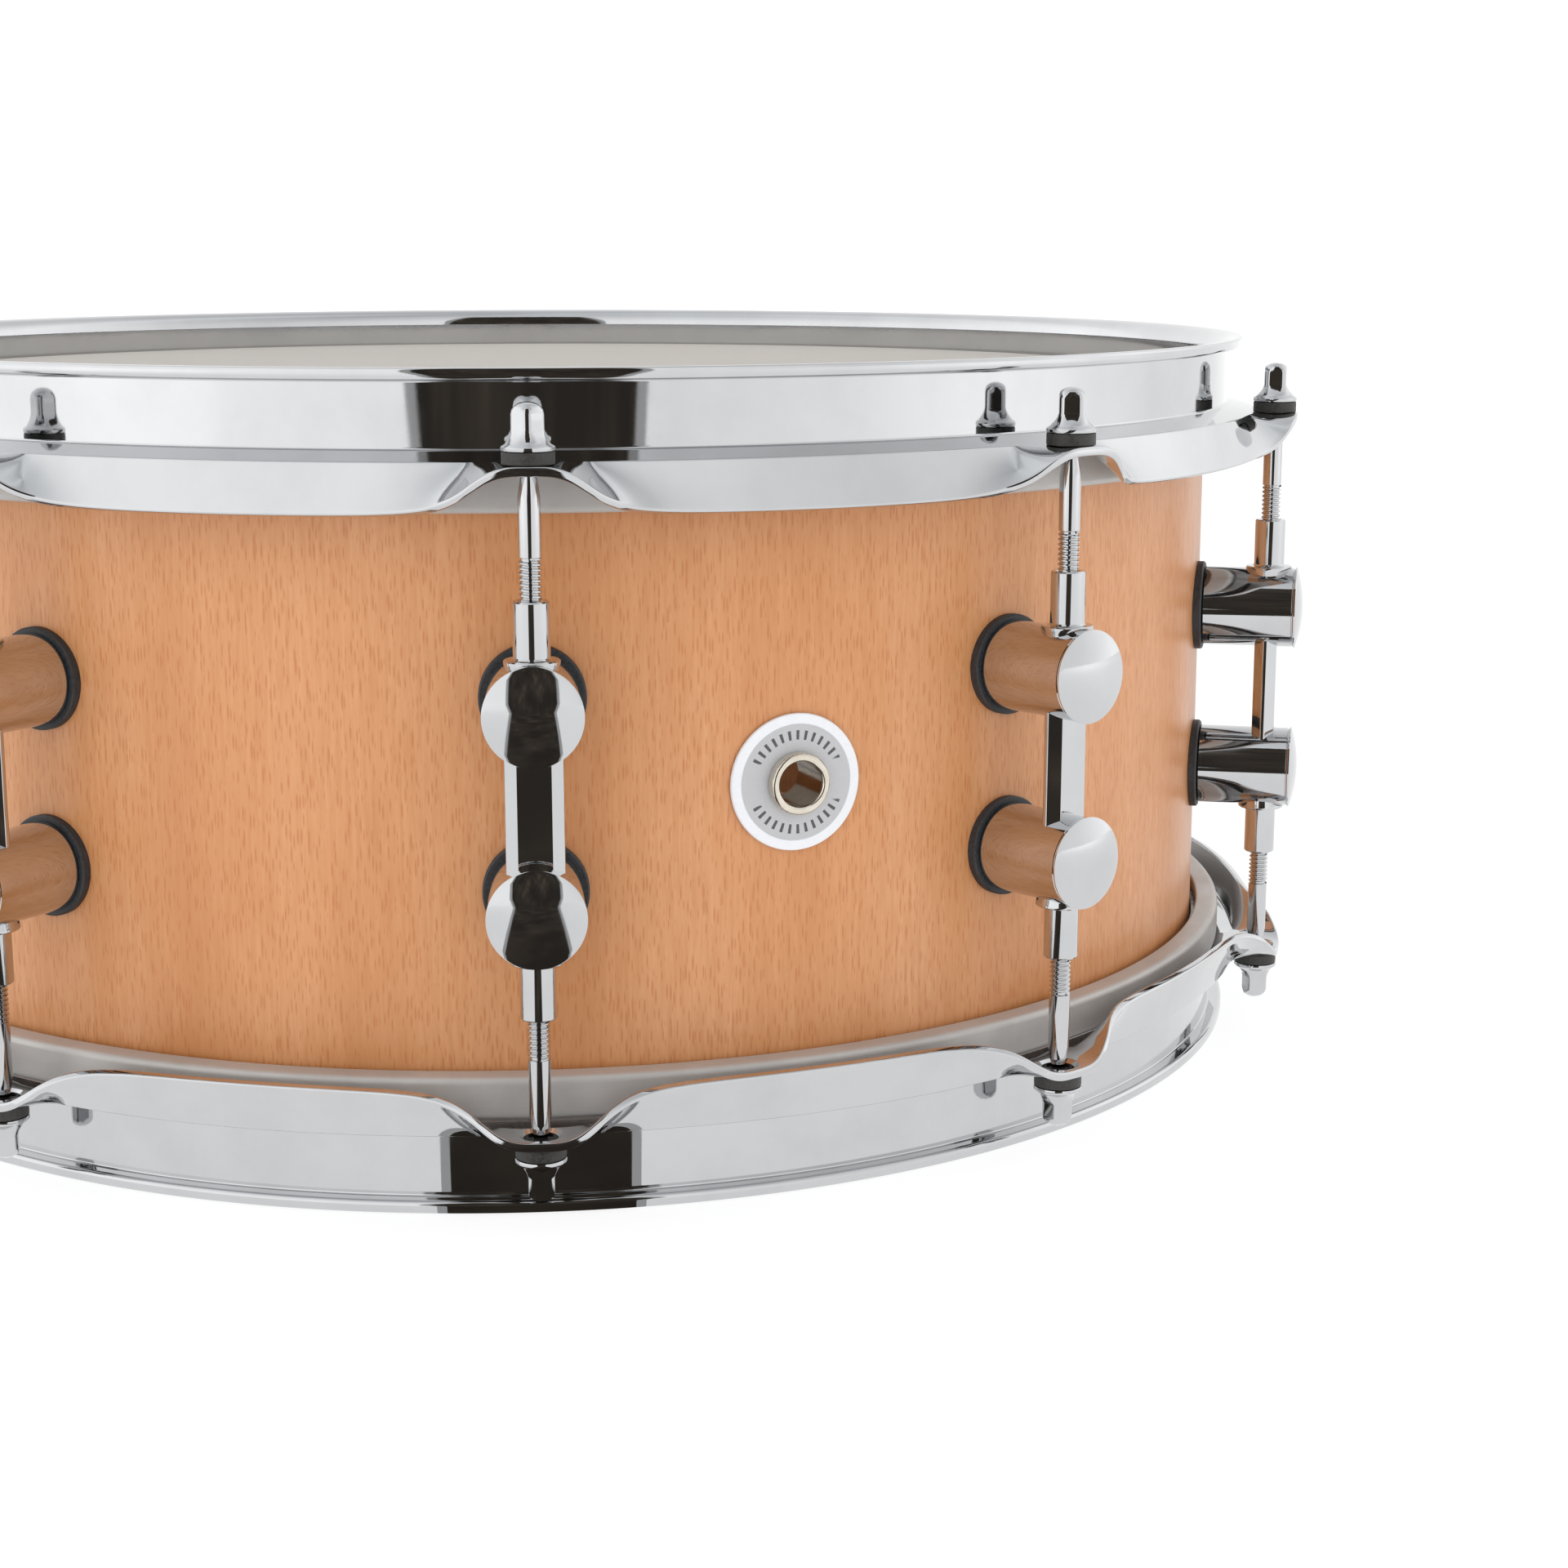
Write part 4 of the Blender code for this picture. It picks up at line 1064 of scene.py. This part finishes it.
def floor_finish():
    """Pale sheet whose glow is painted light: dimmer near the drum as painted shade round its base, and
    brighter away from it, where it follows the sky's shades round.
    """
    made = stage_finish("floor_white", (0.2, 0.2, 0.2), 1.0)
    x, y, _ = made.split(made.place())
    turn = made.math("ARCTAN2", x, made.math("MULTIPLY", y, -1.0))
    turn = made.math("SUBTRACT", turn, math.radians(LENS_BEARING))
    share = made.math("FRACT", made.math("MULTIPLY_ADD", turn, 0.5 / math.pi))
    distance = made.node("ShaderNodeVectorMath", {0: made.place()}, operation="LENGTH").outputs["Value"]
    # painted light: far off the glow follows the sky's shades, near the drum it is dimmer as painted
    # shade
    far_glow = made.mix(1.0, made.ramp(share, shades_round()), (FLOOR_GAIN,) * 3, "MULTIPLY")
    blend = made.between(distance, FLOOR_NEAR, FLOOR_FAR)
    made.link(made.mix(blend, (FLOOR_GLOW,) * 3, far_glow), "Emission Color")
    return made.material


def gap_finish():
    """Dark, cluttered room between the lights; on the floor sheets the same dark is painted shade."""
    made = stage_finish("gap_dark", (0.01, 0.01, 0.01), 1.0)
    clutter = made.noise(made.place((1, 1, 0.4)), 9, 3.0, 0.6)
    dark, middle, pale = (0.020, 0.016, 0.012), (0.042, 0.033, 0.024), (0.11, 0.085, 0.055)
    made.link(made.ramp(clutter, ((0.40, dark), (0.58, middle), (0.72, pale))), "Emission Color")
    return made.material


def board(name, corners, finish):
    """Flat stage piece between points of the world."""
    mesh = bpy.data.meshes.new(name)
    mesh.from_pydata([tuple(corner) for corner in corners], [], [tuple(range(len(corners)))])
    mesh.materials.append(finish)
    item = bpy.data.objects.new(name, mesh)
    bpy.context.scene.collection.objects.link(item)
    return item


def reflector(name, corners, finish):
    """Board seen only in the plating, as the gap between two soft boxes is."""
    item = board(name, corners, finish)
    item.visible_camera = False
    item.visible_diffuse = False
    item.visible_shadow = False


def cooled(shade):
    """Grey of a shade, bluer where it is darker."""
    lean = SKY_COOL * (1 - shade)
    return (shade * (1 - lean), shade, shade * (1 + lean))


def build_sky():
    """Soft light all round, brightest along the horizon and at the drum's left and right."""
    world = bpy.data.worlds.new("studio")
    bpy.context.scene.world = world
    world.use_nodes = True
    sky = Nodes(world.node_tree, "Background")
    source = sky.node("ShaderNodeTexCoord").outputs["Generated"]
    aim = {"Vector": source, "Angle": math.radians(-LENS_BEARING - 90)}
    aimed = sky.node("ShaderNodeVectorRotate", aim, rotation_type="Z_AXIS").outputs["Vector"]
    x, y, z = sky.split(aimed)
    share = sky.between(sky.math("ARCTAN2", y, x), math.pi, -math.pi)
    by_height = sky.ramp(z, [(place, cooled(shade)) for place, shade in SKY_HEIGHTS])
    sky.link(sky.mix(1.0, by_height, sky.ramp(share, shades_round()), "MULTIPLY"), "Color")
    sky.put("Strength", SKY_STRENGTH * SHADE_SCALE)


def build_floor():
    a = FLOOR_REACH
    board("floor", [(-a, -a, FLOOR), (a, -a, FLOOR), (a, a, FLOOR), (-a, a, FLOOR)], floor_finish())


def build_gap():
    """Dark gap in the lights behind the camera, and its painted shade on the floor, each with a grey rim.
    """
    turn = Matrix.Rotation(math.radians(LENS_BEARING), 3, "Z")
    rim = stage_finish("gap_rim", (0.01, 0.01, 0.01), 0.42).material
    parts = ("gap_rim", GAP_RIM, 0.0, rim), ("gap_core", 1.0, GAP_LIFT, gap_finish())
    for name, spread, lift, finish in parts:
        near, far, wide = (spread * width for width in (GAP_NEAR, GAP_FAR, GAP_WIDE))
        start, end, low = -GAP_START, -GAP_END + lift, FLOOR + GAP_LIFT + lift
        sheet = [(-near, start, low), (near, start, low), (far, end, low), (-far, end, low)]
        right = [(far, end, low), (wide, end, GAP_STEP), (wide, end, GAP_TOP)]
        wall = right + [(-x, y, z) for x, y, z in reversed(right)]
        # the floor sheets are painted shade: dark sheets on the floor, seen only in the plating
        reflector(name + "_floor", [turn @ Vector(corner) for corner in sheet], finish)
        reflector(name + "_wall", [turn @ Vector(corner) for corner in wall], finish)


def build_camera():
    """Camera at the front left of the vent, a little above the drum, aimed right of its middle."""
    level = math.cos(LENS_PITCH)
    ahead = Vector((math.sin(LENS_YAW) * level, math.cos(LENS_YAW) * level, -math.sin(LENS_PITCH)))
    turn = Matrix.Rotation(math.radians(LENS_BEARING), 3, "Z")
    data = bpy.data.cameras.new("camera")
    data.lens = LENS_FOCAL
    data.sensor_width = LENS_SENSOR
    item = bpy.data.objects.new("camera", data)
    bpy.context.scene.collection.objects.link(item)
    item.location = turn @ Vector((0, -LENS_REACH, LENS_HEIGHT))
    item.rotation_euler = (turn @ ahead).to_track_quat("-Z", "Y").to_euler()
    bpy.context.scene.camera = item
    bpy.context.scene.view_settings.view_transform = "Standard"


def main():
    chrome = chrome_finish()
    beech, badge_look, nickel = beech_finish(), badge_finish(), nickel_finish()
    rubber, nylon = rubber_finish(), rubber_finish("black_nylon", (0.022, 0.021, 0.019))
    steel, brass = steel_finish(), steel_finish("plate_brass", (0.72, 0.58, 0.36), 0.3)
    build_shell(beech, badge_look, nickel)
    build_heads(coated_film_finish(), clear_film_finish(), alloy_finish())
    build_hoops(chrome)
    build_lugs(chrome, rubber, nylon, steel)
    build_strainer(chrome, steel, strap_finish())
    build_snares(steel, brass)
    build_sky()
    build_floor()
    build_gap()
    build_camera()


main()
